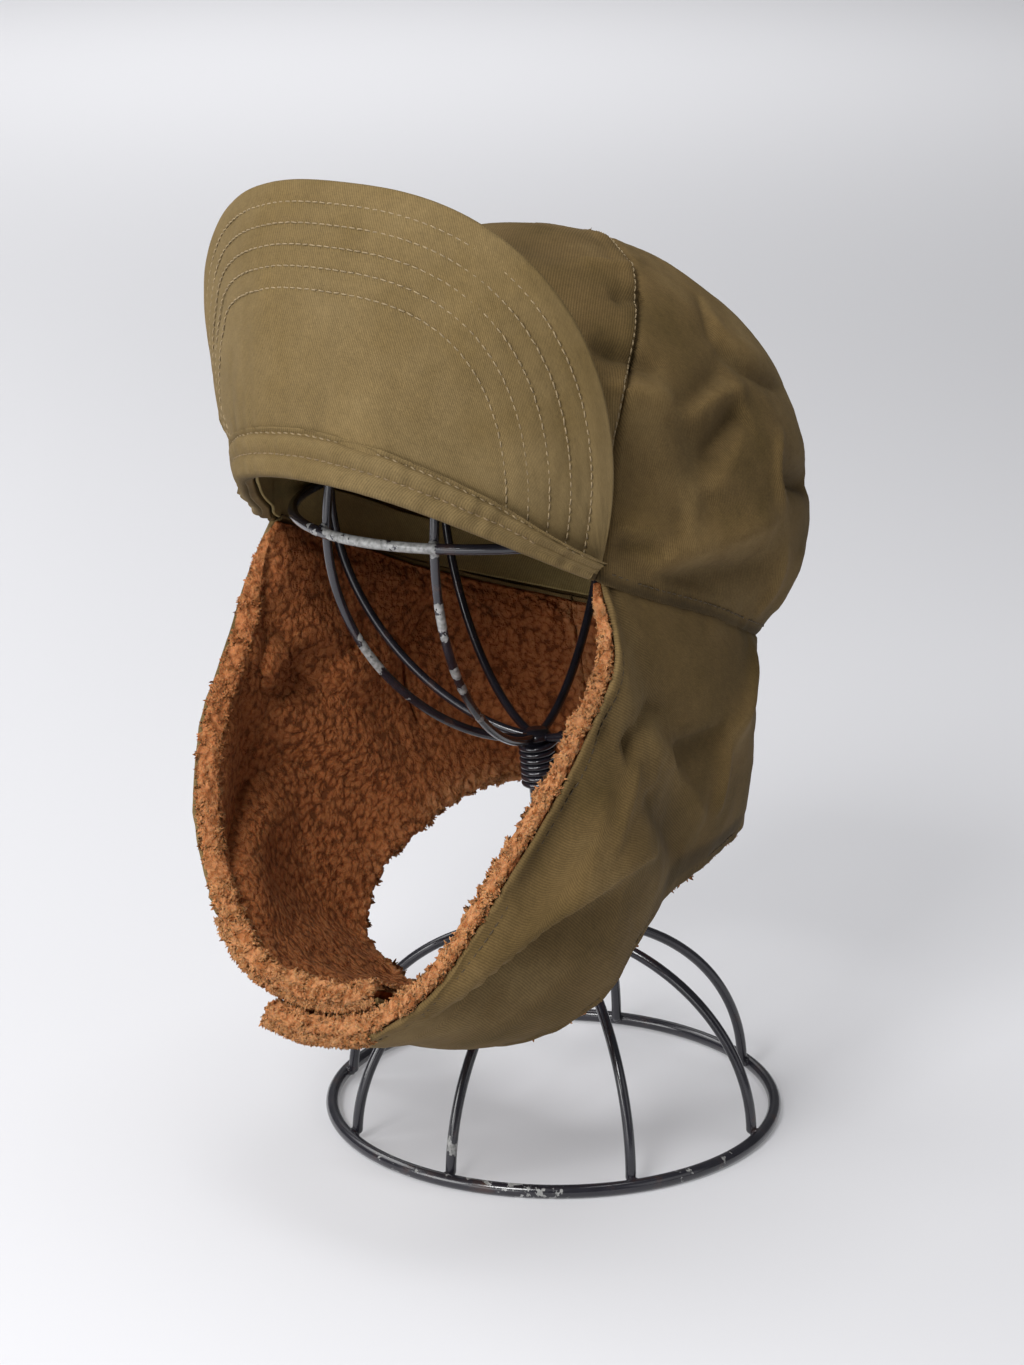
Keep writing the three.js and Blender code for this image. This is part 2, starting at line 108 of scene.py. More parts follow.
# Rows of points round the lining's roll: on its back, each edge and its face. Columns are a step apart.
PILE_ROWS = {"back": 26, "edge": 10, "face": 92, "step": 1.05}
PILE = {"wall": 6.0, "seam_wall": 3.0, "seam_share": 0.1, "under": 2.25, "lip": 2.2, "cover": 1.3}
# Run, thickness
PILE_WALLS = np.array([(0.5, 6.0), (0.58, 7.2), (0.76, 7.4), (0.87, 6.2), (1.1, 6.0)])
# Run, share of pale pile along the right flap's edge; a low share paints that edge in shade, as brown as the
# inside
PILE_EDGE_SHADE = np.array([(0.5, 1.0), (0.501, 0.25), (0.7, 0.35), (0.8, 0.7), (0.87, 1.0)])
# Place along a lock, girth
LOCK = np.array([(-0.3, 1.0), (0.6, 0.95), (1.0, 0.25)])
BUNCH = 7  # locks that stand together
FLAP_TUCK = -0.022  # the flaps reach up inside the crown's edge
PILE_TOP = 0.008  # where the lining starts below the rim, as a share of the flap's height
OVERLAP = {"shift": 5.5, "from": 0.74, "to": 0.88, "left_end": 1.036, "right_end": 1.085}
# Pile round the cloth's front edge near the chin: first run, last run, lowest share, side, count
CHIN_WRAPS = [(0.93, 1.034, 0.05, 1, 1450), (0.99, 1.034, 0.1, 1, 450), (-1.08, -0.87, 0.07, -1, 2200)]
# Locks on a lower edge, on the neck's lower edge, on a front edge and on a flap's end
TUFTS = {"lower": 1100, "neck": 300, "front": 2300, "end": 600}
NECK_SHARE = 0.108  # run at which the neck flap meets an ear flap
FLAP_SEAM = 0.0004  # half of the gap between them
HEAD_MIDDLE = np.array([0.0, -35.0, 170.0])
FLAP_REACH = 0.12  # run to each side over which a flap's direction is averaged
SWEATBAND = {"height": 0.105, "below": 0.005, "wall": 1.0, "inside": 2.4, "radius": 85.0}

# Ear flap outline from temple to chin and from nape to chin
FRONT_EDGE = np.array([
    (71.2, -70.2, 226.4), (80, -74.5, 203), (79, -87.5, 181), (76.5, -103, 160.5),
    (69.5, -116, 139), (59.5, -127.5, 118), (45.5, -136.5, 98.5), (25, -141, 83.5), (0, -140.5, 78),
])
REAR_EDGE = np.array([
    (0, 77.5, 103), (28, 69.5, 104), (48.5, 48.5, 106.5), (56.5, 20, 106.5), (58.5, -9, 100.5),
    (60.5, -34.5, 85.5), (53.5, -51, 63.5), (29, -64.5, 54), (0, -69, 51),
])
# Run, height by which the left flap's lower edge differs
HEM_SHIFT = np.array([
    (0, 0), (0.18, 0), (0.24, -1.5), (0.3, -4.0), (0.36, -5.0), (0.44, -5.0), (0.5, -3.0), (0.56, -0.8),
    (0.6, 0.2), (0.67, 1.8), (0.74, 3.4), (0.8, 4.0), (1, 4.0),
])
# How far a flap bulges out, at even steps from nape to chin
BULGE = np.array([0, 1, 4, 8, 10, 10, 8, 4, 3], float)

# Lengths that turn places into millimetres: rim to apex, one degree round the crown, nape to chin
# and a flap's height
MERIDIAN = 200.0
DEGREE_WIDTH = 1.45
FLAP_RUN = 430.0
FLAP_DROP = 105.0

# Depth in mm at which a valley is nearly darkest
FOLD_SHADE = {"crown": 3.2, "flap": 4.0, "most": 1.1}

# A fold runs from one place on the cloth through a second to a third. Depth is inwards.
# Near is how far it reaches to the left of its line, and far to the right, in millimetres.
# Angle, share, angle, share, angle, share, near, far, depth
CROWN_FOLDS = [
    (-46, 0.41, -39.2, 0.427, -30, 0.415, 3.5, 3.5, 5.4),
    (-40, 0.345, -33, 0.36, -25, 0.375, 3, 4.5, -3.6),
    (-46, 0.56, -42.5, 0.58, -37, 0.61, 3, 3.5, 3.0),
    (-24, 0.36, -18, 0.427, -10, 0.51, 5, 3.5, 3.1),
    (-21, 0.35, -13.8, 0.417, -1, 0.475, 3, 3, -2.5),
    (-4.5, 0.425, -10.8, 0.375, -16, 0.27, 6, 3.5, 5.6),
    (-3.7, 0.39, -9.2, 0.292, -12, 0.22, 6, 3, -2.2),
    (-22.5, 0.355, -18.5, 0.292, -15, 0.23, 5, 5, 2.8),
    (-12.8, 0.215, -11.8, 0.193, -10.2, 0.165, 1.8, 2.2, 1.2),
    (-16.5, 0.23, -15, 0.177, -13.8, 0.125, 2.2, 2.2, -1.4),
    (-17.8, 0.18, -16.8, 0.152, -15.8, 0.12, 1.8, 1.8, 1.2),
    (-28.2, 0.098, -24, 0.11, -18.5, 0.12, 2.6, 1.6, -3.0),
    (-28, 0.073, -22.8, 0.085, -16, 0.092, 1.4, 2.6, 3.0),
    (-18.8, 0.04, -9.8, 0.107, 11.5, 0.213, 7, 2.8, -4.5),
    (-15.5, 0.032, -6.2, 0.072, 14, 0.14, 3, 6, 3.6),
    (18.5, 0.185, 21.8, 0.09, 21, 0.02, 3, 3, -2.5),
    (31, 0.19, 34, 0.11, 33, 0.04, 9, 9, -2.2),
    (-7.4, 0.69, -12.6, 0.60, -11.3, 0.55, 2, 4, 2.2),
    (-11.8, 0.56, 2, 0.517, 32, 0.54, 2, 5, 3.6),
    (-5, 0.645, -3, 0.575, 24, 0.585, 5, 6, -1.7),
    (12.5, 0.318, 24, 0.335, 42, 0.34, 3.5, 5, 9.5),
    (14, 0.41, 8.8, 0.325, 14, 0.235, 1.6, 2.4, -2.6),
    (-58, 0.645, -48.2, 0.675, -40.5, 0.695, 2, 4, -2.2),
    (40, 0.52, 50, 0.42, 64, 0.30, 6, 8, 5.4),
    (-60, 0.62, -86, 0.66, -112, 0.66, 8, 10, 2.5),
    (-96, 0.18, -78, 0.20, -60, 0.27, 8, 10, 2.2),
    (-130, 0.40, -118, 0.36, -104, 0.38, 5, 8, 2.8),
    (98, 0.29, 125, 0.25, 152, 0.15, 8, 10, 4.8),
    (70, 0.12, 90, 0.075, 110, 0.08, 5, 8, 3.2),
    (84, 0.56, 100, 0.50, 122, 0.52, 3, 6, 3.5),
    (194, 0.45, 203, 0.36, 208, 0.27, 6, 9, 4.0),
    (176, 0.21, 192, 0.14, 206, 0.10, 5, 7, 3.0),
    (158, 0.62, 172, 0.57, 188, 0.55, 3, 7, 4.0),
    (150, 0.34, 158, 0.30, 170, 0.31, 3, 5, 4.2),
]
# Run, share, run, share, run, share, near, far, depth
FLAP_FOLDS = [
    (0.59, 0.62, 0.715, 0.30, 0.87, 0.07, 2.4, 10, -5.2),
    (0.665, 0.53, 0.76, 0.307, 0.875, 0.13, 10, 2.4, 4.6),
    (0.60, -0.02, 0.609, 0.037, 0.616, 0.09, 5, 5, 2.3),
    (0.60, 0.19, 0.569, 0.22, 0.462, 0.41, 3, 2.5, 3.5),
    (0.576, 0.215, 0.592, 0.193, 0.606, 0.20, 2, 2, 3.5),
    (0.505, 0.50, 0.45, 0.473, 0.385, 0.415, 2, 8, 4.2),
    (0.57, 0.26, 0.492, 0.577, 0.44, 0.76, 5, 6, -3.5),
    (0.28, 0.06, 0.333, 0.307, 0.387, 0.44, 5, 3, -3.8),
    (0.385, 0.43, 0.402, 0.59, 0.413, 0.76, 4, 2.5, -3.2),
    (0.588, 0.36, 0.575, 0.53, 0.488, 0.87, 7, 6, 4.1),
    (0.595, 0.235, 0.625, 0.273, 0.675, 0.295, 2.5, 4, -2.2),
    (0.66, 0.06, 0.715, 0.063, 0.77, 0.063, 7, 7, 2.6),
    (0.64, 0.155, 0.683, 0.227, 0.735, 0.23, 6, 6, -2.2),
    (0.22, 0.15, 0.25, 0.45, 0.24, 0.85, 8, 9, 2.9),
    (0.93, 0.25, 0.95, 0.5, 0.98, 0.85, 8, 9, 2.2),
    (0.05, 0.20, 0.02, 0.55, 0.04, 0.90, 8, 9, 2.3),
    (0.15, 0.05, 0.14, 0.25, 0.17, 0.42, 4, 6, 2.3),
]
HEM_CURL = {"from": 0.24, "full": 0.34, "fade": 0.52, "to": 0.62, "start": 0.84, "depth": 1.8}

# Driving dimensions of the stand
BASE = {"ring": 81.5, "wire": 4.8, "dome": 68.0, "rib_wire": 3.8, "rib_end": 7.0, "rib_seat": 1.0}
RIB_ANGLES = [-70, -28, 9, 56.5, 102, 150.6, 198, 236]
NECK = {"radius": 4.3, "top_y": -11.0, "top_z": 145.0}
# Height and radius: the hub from the dome's top, and the knob from the coil's top
HUB = np.array([(-1.9, 5.6), (-1.7, 6.3), (0, 6.4), (1.7, 6.3), (2.6, 5.2), (4.5, 4.3)])
KNOB = np.array([(-1, 4.3), (0, 4.5), (0.6, 5.2), (2.2, 5.3), (3.4, 4.2)])
COIL = {"turns": 7, "pitch": 2.35, "wire": 2.1, "from": 56.5, "clear": 0.45}
HEAD_RING = {"radius": 77.2, "wire": 3.6, "y": -22.7, "z": 235.0, "tilt_x": 0.022, "tilt_y": -0.046}
CAGE = {
    "wire": 3.2, "spread": 0.936, "lift": 0.825, "ring_gap": 0.3, "top_bend": 1.05,
    "foot_reach": 4.2, "top_reach": 5.6,
}
CAGE_ANGLES = [-121, -79, -23, 15.5, 97, 190]
BOSS = {"radius": 6.3, "thickness": 4.0, "y": -23.0, "top": 326.4}
# Radii of the beads where wires are welded
WELDS = {"rib": (2.3, 2.3, 1.8), "cage": (2.0, 2.0, 2.3)}

# Worn paint. Place on the piece (degrees, or turn along a wire), reach in mm, strength
RING_WEAR = [(-21, 10, 0.36), (-8, 11, 0.4), (4, 11, 0.4), (13, 6, 0.36), (15.5, 4, 0.4)]
CAGE_WEAR = [
    (3, 0.62, 7, 0.42), (3, 0.54, 6, 0.42), (3, 0.42, 3, 0.4),
    (4, 0.99, 4, 0.5), (4, 0.80, 5, 0.48), (4, 0.74, 5, 0.42), (4, 0.60, 4, 0.46), (4, 0.53, 4, 0.46),
    (4, 0.40, 7, 0.36),
]
BASE_WEAR = [(-14, 10, 0.13), (-4, 12, 0.15), (18, 16, 0.14), (34, 12, 0.18), (70, 5, 0.18), (83, 5, 0.2)]
WORN_RIB = 9  # the angle of the rib with bare spots
RIB_WEAR = [(77, 30, 4, 0.3), (77.5, 14, 7, 0.3), (70, 46, 4, 0.28)]  # side, height, reach, strength

# The camera stands at the cap's left front, as in the photograph
CAMERA = {
    "azimuth": 37.0, "distance": 1160.7, "aside": -15.3, "height": 507.4, "pitch": 16.56,
    "lens": 89.67, "sensor": 36.0,
}


# Small vector and noise helpers

def unit(v):
    return v / np.maximum(np.linalg.norm(v, axis=-1, keepdims=True), 1e-12)


def smooth(value, low, high):
    f = np.clip((np.asarray(value, float) - low) / (high - low), 0, 1)
    return f * f * (3 - 2 * f)


def bell(x, centre, width):
    return np.exp(-((x - centre) / width) ** 2)


def between(x, start, full, fade, end):
    """1 from full to fade, and 0 before start and after end."""
    return smooth(x, start, full) * (1 - smooth(x, fade, end))


def looked_up(table, x):
    return np.interp(x, table[:, 0], table[:, 1])


def mirrored(p):
    return p * np.array([-1.0, 1.0, 1.0])


def hashed(i, j, seed):
    """A number from 0 to 1 for each whole-number place, always the same for the same seed."""
    n = (i.astype(np.int64) * 374761393 + j.astype(np.int64) * 668265263 + seed * 974711) & 0xFFFFFFFF
    n = ((n ^ (n >> 13)) * 1274126177) & 0xFFFFFFFF
    return ((n ^ (n >> 16)) & 0xFFFFFF) / float(0xFFFFFF)


def noise(x, y, seed):
    """Smooth noise from -1 to 1 with one hill or hollow to each unit."""
    i, j = np.floor(x), np.floor(y)
    f, g = smooth(x - i, 0, 1), smooth(y - j, 0, 1)
    low = hashed(i, j, seed) * (1 - f) + hashed(i + 1, j, seed) * f
    high = hashed(i, j + 1, seed) * (1 - f) + hashed(i + 1, j + 1, seed) * f
    return 2 * (low * (1 - g) + high * g) - 1


def layered(x, y, seed):
    return sum(noise(x * 2 ** k, y * 2 ** k, seed + k) / 2 ** k for k in range(3)) / 1.6


def cells(x, y, seed):
    """Rounded pebbles, one to each unit square: height from 0 in the gaps to 1 on top, and a number each."""
    nearest = np.full(np.shape(x), 9.0)
    second = np.full(np.shape(x), 9.0)
    owner = np.zeros(np.shape(x))
    i, j = np.floor(x), np.floor(y)
    for di in (-1, 0, 1):
        for dj in (-1, 0, 1):
            px = i + di + 0.1 + 0.8 * hashed(i + di, j + dj, seed)
            py = j + dj + 0.1 + 0.8 * hashed(i + di, j + dj, seed + 7)
            d = np.hypot(x - px, y - py)
            closer = d < nearest
            second = np.where(closer, nearest, np.minimum(second, d))
            owner = np.where(closer, hashed(i + di, j + dj, seed + 13), owner)
            nearest = np.where(closer, d, nearest)
    gap = np.clip((second - nearest) / 0.55, 0, 1)
    return np.sqrt(1 - (1 - gap) ** 2), owner


def fold_line(row, width, height):
    """Seven points in millimetres along the curve of a fold."""
    start, middle, end = (np.array([row[k] * width, row[k + 1] * height]) for k in (0, 2, 4))
    pull = 2 * middle - (start + end) / 2
    t = np.linspace(0, 1, 7)[:, None]
    return (1 - t) ** 2 * start + 2 * t * (1 - t) * pull + t ** 2 * end


def fold_depth(rows, x, y):
    """Depth of all folds at places x, y, in millimetres."""
    total = np.zeros(x.shape)
    for near, far, depth, line in rows:
        nearest = np.full(x.shape, 1e9)
        side = np.zeros(x.shape)
        along = np.zeros(x.shape)
        for k in range(6):
            step = line[k + 1] - line[k]
            length = np.hypot(*step)
            dx, dy = x - line[k, 0], y - line[k, 1]
            t = np.clip((dx * step[0] + dy * step[1]) / length ** 2, 0, 1)
            distance = np.hypot(dx - t * step[0], dy - t * step[1])
            closer = distance < nearest
            nearest = np.where(closer, distance, nearest)
            side = np.where(closer, step[0] * dy - step[1] * dx, side)
            along = np.where(closer, (k + t) / 3 - 1, along)
        reach = np.where(side > 0, near, far)
        blunt = 0.5 * reach
        flank = np.exp(-(np.sqrt(nearest ** 2 + blunt ** 2) - blunt) / reach)
        total += depth * flank * (1 - 0.85 * along ** 4)
    return total


class Relief:
    """Folds and soft unevenness of a cloth, worked out once on a fine table of places."""

    def __init__(self, rows, xs, ys, width, height, uneven):
        self.xs, self.ys = xs, ys
        x, y = np.meshgrid(xs * width, ys * height, indexing="ij")
        lines = [row[6:] + (fold_line(row, width, height),) for row in rows]
        self.table = fold_depth(lines, x, y) + uneven(x, y)

    def __call__(self, x, y):
        i = np.clip((x - self.xs[0]) / (self.xs[1] - self.xs[0]), 0, len(self.xs) - 1.001)
        j = np.clip((y - self.ys[0]) / (self.ys[1] - self.ys[0]), 0, len(self.ys) - 1.001)
        i0, j0 = i.astype(int), j.astype(int)
        f, g = i - i0, j - j0
        t = self.table
        return ((t[i0, j0] * (1 - g) + t[i0, j0 + 1] * g) * (1 - f)
                + (t[i0 + 1, j0] * (1 - g) + t[i0 + 1, j0 + 1] * g) * f)


CROWN_RELIEF = Relief(
    CROWN_FOLDS, np.linspace(-150, 210, 1081), np.linspace(0, 1, 401), DEGREE_WIDTH, MERIDIAN,
    lambda x, y: 0.6 * layered(x / 26, y / 22, 11) + 0.22 * layered(x / 9, y / 11, 14))
FLAP_RELIEFS = [
    Relief(FLAP_FOLDS, np.linspace(0, 1, 861), np.linspace(0, 1, 211), FLAP_RUN, FLAP_DROP,
           lambda x, y, k=k: (0.7 * layered(x / 30 + 20 * k, y / 24, 31)
                              + 0.25 * layered(x / 10 + 20 * k, y / 12, 34)))
    for k in (0, 1)]


# The cap's surfaces: arrays in, points of shape (..., 3) out

CAP_UP = np.array([0.0, math.sin(CAP_TILT), math.cos(CAP_TILT)])
PEAK_SPAN = math.radians(PEAK["half_angle"])


def brow_inset(angle):
    """The right side of the brow lies closer to the head."""
    across = -((angle + math.pi) % (2 * math.pi) - math.pi / 2) / PEAK_SPAN
    return PEAK["inset"] * between(across, 0.3, 0.66, 0.86, 1.0)


def rim(angle):
    c, s = np.cos(angle), np.sin(angle)
    n = RIM["squareness"]
    k = (np.abs(c) ** n + np.abs(s) ** n) ** (-1 / n)
    h = s * k
    backward = smooth(h, -RIM["blend"], RIM["blend"])
    reach = RIM["front"] + (RIM["back"] - RIM["front"]) * backward
    z = RIM["height"] + RIM["slope"] * h + RIM["curve"] * h ** 2 + RIM["twist"] * h ** 3
    closer = 1 - brow_inset(angle) / BROW_REACH
    return np.stack([RIM["half_width"] * c * k * closer, reach * h * closer + RIM["middle_y"], z], -1)


def outward(angle):
    step = 0.001
    return unit(np.cross(rim(angle + step) - rim(angle - step), CAP_UP))


def plain_crown(angle, share):
    angle, share = np.broadcast_arrays(angle, share)
    s = np.sin(angle)[..., None]
    t = share[..., None]
    start, out = rim(angle), outward(angle)
    apex = np.array([0.0, CROWN["apex_y"], CROWN["apex_z"]])
    low = (start + out * (CROWN["swell"] + CROWN["swell_back"] * s)
           + CAP_UP * (CROWN["rise"] + CROWN["rise_back"] * s))
    high = apex + out * (CROWN["top_width"] + CROWN["top_width_back"] * s)
    return ((1 - t) ** 3 * start + 3 * (1 - t) ** 2 * t * low
            + 3 * (1 - t) * t ** 2 * high + t ** 3 * apex)


def crown_folds(angle, share):
    return CROWN_RELIEF((np.degrees(angle) + 150) % 360 - 150, share)


def crown_point(angle, share):
    angle, share = np.broadcast_arrays(angle, share)
    point = plain_crown(angle, share)
    depth = crown_folds(angle, share) * (1 - smooth(share, 0.8, 1))
    inwards = unit(np.array([0.0, CROWN["apex_y"], CROWN["apex_z"] - CROWN["axis_drop"]]) - point)
    return point + inwards * (depth * smooth(share, 0, 0.05))[..., None]


def through(points, u):
    """Smooth curve through evenly numbered points, u from 0 to 1."""
    padded = np.concatenate([[2 * points[0] - points[1]], points, [2 * points[-1] - points[-2]]])
    last = len(points) - 1
    k = np.clip(u, 0, 1) * last
    i = np.minimum(np.floor(k), last - 1).astype(int)
    f = (k - i)[..., None] if points.ndim > 1 else k - i
    p0, p1, p2, p3 = padded[i], padded[i + 1], padded[i + 2], padded[i + 3]
    slope, after = 0.5 * (p2 - p0), 0.5 * (p3 - p1)
    return (p1 + slope * f + (3 * (p2 - p1) - 2 * slope - after) * f ** 2
            + (2 * (p1 - p2) + slope + after) * f ** 3)


def flap_top(run):
    by_rim = rim(math.pi / 2 + (TEMPLE - math.pi / 2) * 2 * np.minimum(run, 0.5))
    by_edge = through(FRONT_EDGE, np.maximum(2 * run - 1, 0))
    return np.where((run <= 0.5)[..., None], by_rim, by_edge)


def flap_normal(run):
    a, b = np.maximum(run - FLAP_REACH, 0), np.minimum(run + FLAP_REACH, 1)
    along = flap_top(b) + through(REAR_EDGE, b) - flap_top(a) - through(REAR_EDGE, a)
    down = through(REAR_EDGE, run) - flap_top(run)
    normal = unit(np.cross(down, along))
    middle = (flap_top(run) + through(REAR_EDGE, run)) / 2 - HEAD_MIDDLE
    return normal * np.sign((normal * middle).sum(-1, keepdims=True))


def hem_window(run):
    return between(run, HEM_CURL["from"], HEM_CURL["full"], HEM_CURL["fade"], HEM_CURL["to"])


def flap_half(run, share, on_right):
    depth = np.where(on_right, FLAP_RELIEFS[1](run, share), FLAP_RELIEFS[0](run, share))
    curl = HEM_CURL["depth"] * hem_window(run) * smooth(share, HEM_CURL["start"], 1.08)
    out = 4 * share * (1 - share) * through(BULGE, run) - depth * smooth(share, 0, 0.08) - curl
    top, rear = flap_top(run), through(REAR_EDGE, run)
    raised = looked_up(HEM_SHIFT, run) * ~on_right
    rear = rear + np.array([0.0, 0.0, 1.0]) * raised[..., None]
    around = sum(flap_top(np.clip(run + step, 0, 1)) for step in (-0.03, -0.015, 0, 0.015, 0.03)) / 5
    open_part = smooth(np.abs(run - 0.5), 0.09, 0.04)
    top = top + (around - top) * (smooth(share, 0, 0.14) * open_part)[..., None]
    return top + (rear - top) * share[..., None] + flap_normal(run) * out[..., None]


def flap_point(run, share):
    """Run goes from the nape at 0 round the wearer's left to the chin at 1, and the other way below 0."""
    run, share = np.broadcast_arrays(np.asarray(run, float), np.asarray(share, float))
    distance = np.abs(run)
    over = distance > 1
    half = flap_half(np.where(over, 2 - distance, distance), share, run < 0)
    return np.where(((run < 0) ^ over)[..., None], mirrored(half), half)


def peak_height(across):
    fall = np.maximum(0, 1 - np.abs(across) ** PEAK["roundness"])
    return PEAK["height"] * fall ** PEAK["shoulder"]


def peak_lean(across, height):
    return PEAK["stand_off"] + sum(
        (middle + side * across ** 2) * (height / 100) ** power for power, middle, side in PEAK_LEAN)


def peak_columns(count):
    """Places across the peak, closer together toward its ends."""
    return PEAK["end"] * np.sin(np.linspace(-math.pi / 2, math.pi / 2, count))


def peak_point(across, share):
    across, share = np.broadcast_arrays(across, share)
    height = peak_height(across) * share
    drawn_in = 1 - PEAK["drawn_in"] * across ** 8 * (1 - smooth(height, 0, 32))
    angle = -math.pi / 2 + across * drawn_in * PEAK_SPAN
    lean = peak_lean(across, height) + brow_inset(angle) * smooth(height, 5, 26)
    return rim(angle) + outward(angle) * lean[..., None] + CAP_UP * height[..., None]


def surface_normal(surface, u, v, step=0.002):
    du = surface(u + step, v) - surface(u - step, v)
    dv = surface(u, v + step) - surface(u, v - step)
    return unit(np.cross(du, dv))


# Meshes

def placed(name, data):
    made = bpy.data.objects.new(name, data)
    bpy.context.scene.collection.objects.link(made)
    return made


def new_object(name, points, faces, material, nodes=(), slot=None, uv=None, marks=None, soft=None):
    """A smooth mesh from points in millimetres and a list of face arrays. It rides on the root body.
    Soft holds normals that replace the mesh's own."""
    mesh = bpy.data.meshes.new(name)
    mesh.vertices.add(len(points))
    mesh.vertices.foreach_set("co", (points * MM + ORIGIN).astype(np.float32).ravel())
    corners = np.concatenate([f.ravel() for f in faces]).astype(np.int32)
    sizes = np.concatenate([np.full(len(f), f.shape[1]) for f in faces])
    mesh.loops.add(len(corners))
    mesh.loops.foreach_set("vertex_index", corners)
    mesh.polygons.add(len(sizes))
    mesh.polygons.foreach_set("loop_start", np.concatenate([[0], np.cumsum(sizes)[:-1]]).astype(np.int32))
    mesh.polygons.foreach_set("use_smooth", np.ones(len(sizes), bool))
    if uv is not None:
        layer = mesh.uv_layers.new(name="cloth")
        layer.data.foreach_set("uv", uv[corners].astype(np.float32).ravel())
    for mark, values in (marks or {}).items():
        mesh.attributes.new(mark, "FLOAT", "POINT").data.foreach_set("value", values.astype(np.float32))
    mesh.update(calc_edges=True)
    mesh.validate()
    if soft is not None:
        mesh.normals_split_custom_set_from_vertices(soft.tolist())
    mesh.materials.append(material)
    made = placed(name, mesh)
    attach(made, "root")
    if nodes:
        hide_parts(*nodes)
    return made


def numbered(rows, columns):
    return np.arange(rows * columns).reshape(rows, columns)


def grid_faces(ids, closed_u=False, closed_v=False):
    """Quads between neighbours of a table of vertex numbers."""
    if closed_u:
        ids = np.concatenate([ids, ids[:1]], 0)
    if closed_v:
        ids = np.concatenate([ids, ids[:, :1]], 1)
    return np.stack([ids[:-1, :-1], ids[1:, :-1], ids[1:, 1:], ids[:-1, 1:]], -1).reshape(-1, 4)


def repeated(faces, count, step):
    """The same faces for each of several copies, whose points follow one another."""
    return (faces[None] + step * np.arange(count)[:, None, None]).reshape(-1, faces.shape[1])


def spokes(side, other, sides):
    """Directions round a bar: a row of them for each place along it."""
    turn = np.linspace(0, 2 * math.pi, sides, endpoint=False)[:, None]
    return np.cos(turn) * side[..., None, :] + np.sin(turn) * other[..., None, :]


def lengths_along(points, axis):
    """Distance travelled along an axis of a table of points, in millimetres."""
    steps = np.linalg.norm(np.diff(points, axis=axis), axis=-1)
    first = np.zeros_like(np.take(steps, [0], axis=axis))
    return np.cumsum(np.concatenate([first, steps], axis=axis), axis=axis)


def cloth_uv(points):
    """Flat coordinates in millimetres, measured from the middle column."""
    u = lengths_along(points, 0)
    v = lengths_along(points, 1)
    u = u - u[len(u) // 2][None, :]
    v = np.broadcast_to(v[len(v) // 2][None, :], u.shape)
    return np.stack([u, v], -1).reshape(-1, 2)


def fine_ends(count, length, roll, low=0.0, high=1.0):
    """Places from low to high, evenly spaced but for a few close to each end, where an edge is rolled."""
    near = np.array([0, 0.05, 0.2, 0.45, 0.75, 1.0, 1.5, 2.2]) * roll / length * (high - low)
    middle = np.linspace(low + near[-1], high - near[-1], count)
    return np.concatenate([low + near[:-1], middle, (high - near[:-1])[::-1]])


def slab(name, surface, us, vs, wall, material, relief, shade_mark, shift=None, closed=False, slot="twill"):
    """Cloth of one thickness whose outer face is the surface plus relief. Its free edges are round.
    Its shade mark gives the painted shade that darkens the valleys of its folds and lightens the ridges."""
    u, v = np.meshgrid(us, vs, indexing="ij")
    points = surface(u, v)
    normals = surface_normal(surface, u, v)
    along, up = lengths_along(points, 0), lengths_along(points, 1)
    to_edge = np.minimum(up, up[:, -1:] - up)
    if not closed:
        to_edge = np.minimum(to_edge, np.minimum(along, along[-1:] - along))
    half = wall / 2
    full = np.sqrt(np.clip(1 - (1 - np.clip(to_edge / half, 0, 1)) ** 2, 0, 1))
    middle = (0 if shift is None else shift(u, v)) - half
    raised = relief(u, v, points)
    outer = points + normals * (middle + half * full + raised)[..., None]
    inner = points + normals * (middle - half * full + np.minimum(raised, 0) * 0.6)[..., None]
    ids = numbered(*u.shape)
    edge = np.zeros(u.shape, bool)
    edge[:, [0, -1]] = True
    if not closed:
        edge[[0, -1], :] = True
    back = np.where(edge, ids, ids + u.size)
    faces = [grid_faces(ids, closed_u=closed), grid_faces(back, closed_u=closed)[:, ::-1]]
    flat = cloth_uv(points)
    both = np.concatenate([outer.reshape(-1, 3), inner.reshape(-1, 3)])
    used, numbers = np.unique(np.concatenate([f.ravel() for f in faces]), return_inverse=True)
    split = len(faces[0]) * 4
    faces = [numbers[:split].reshape(-1, 4), numbers[split:].reshape(-1, 4)]
    mark = np.clip(shade_mark(u, v), -1, 2).ravel()
    new_object(name, both[used], faces, material, nodes=[name], slot=slot,
               uv=np.concatenate([flat, flat])[used], marks={"fold": np.concatenate([mark, 0 * mark])[used]})


def tube(path, radius, reference, sides=12, closed=False, round_ends=True):
    """Points and faces of a round bar along a path. The reference is never parallel to the path."""
    path = np.asarray(path, float)
    radius = np.broadcast_to(np.asarray(radius, float), (len(path),)).copy()
    if round_ends and not closed:
        bow = np.array([0.3, 0.6, 0.85, 0.98])
        first, last = unit(path[0] - path[1]), unit(path[-1] - path[-2])
        head = path[0] + first * (bow * radius[0])[::-1, None]
        tail = path[-1] + last * (bow * radius[-1])[:, None]
        shrink = np.sqrt(1 - bow ** 2)
        radius = np.concatenate([shrink[::-1] * radius[0], radius, shrink * radius[-1]])
        path = np.concatenate([head, path, tail])
    if closed:
        tangent = unit(np.roll(path, -1, 0) - np.roll(path, 1, 0))
    else:
        tangent = unit(np.gradient(path, axis=0))
    side = unit(np.cross(tangent, reference))
    ring = spokes(side, np.cross(tangent, side), sides)
    points = path[:, None] + ring * radius[:, None, None]
    ids = numbered(len(path), sides)
    faces = [grid_faces(ids, closed_u=closed, closed_v=True)]
    if not closed:
        faces += [ids[0][None, :], ids[-1][::-1][None, :]]
    return points.reshape(-1, 3), faces


def joined(parts):
    """One list of points and faces from several."""
    points, faces, start = [], [], 0
    for p, f in parts:
        points.append(p)
        faces += [g + start for g in f]
        start += len(p)
    return np.concatenate(points), faces


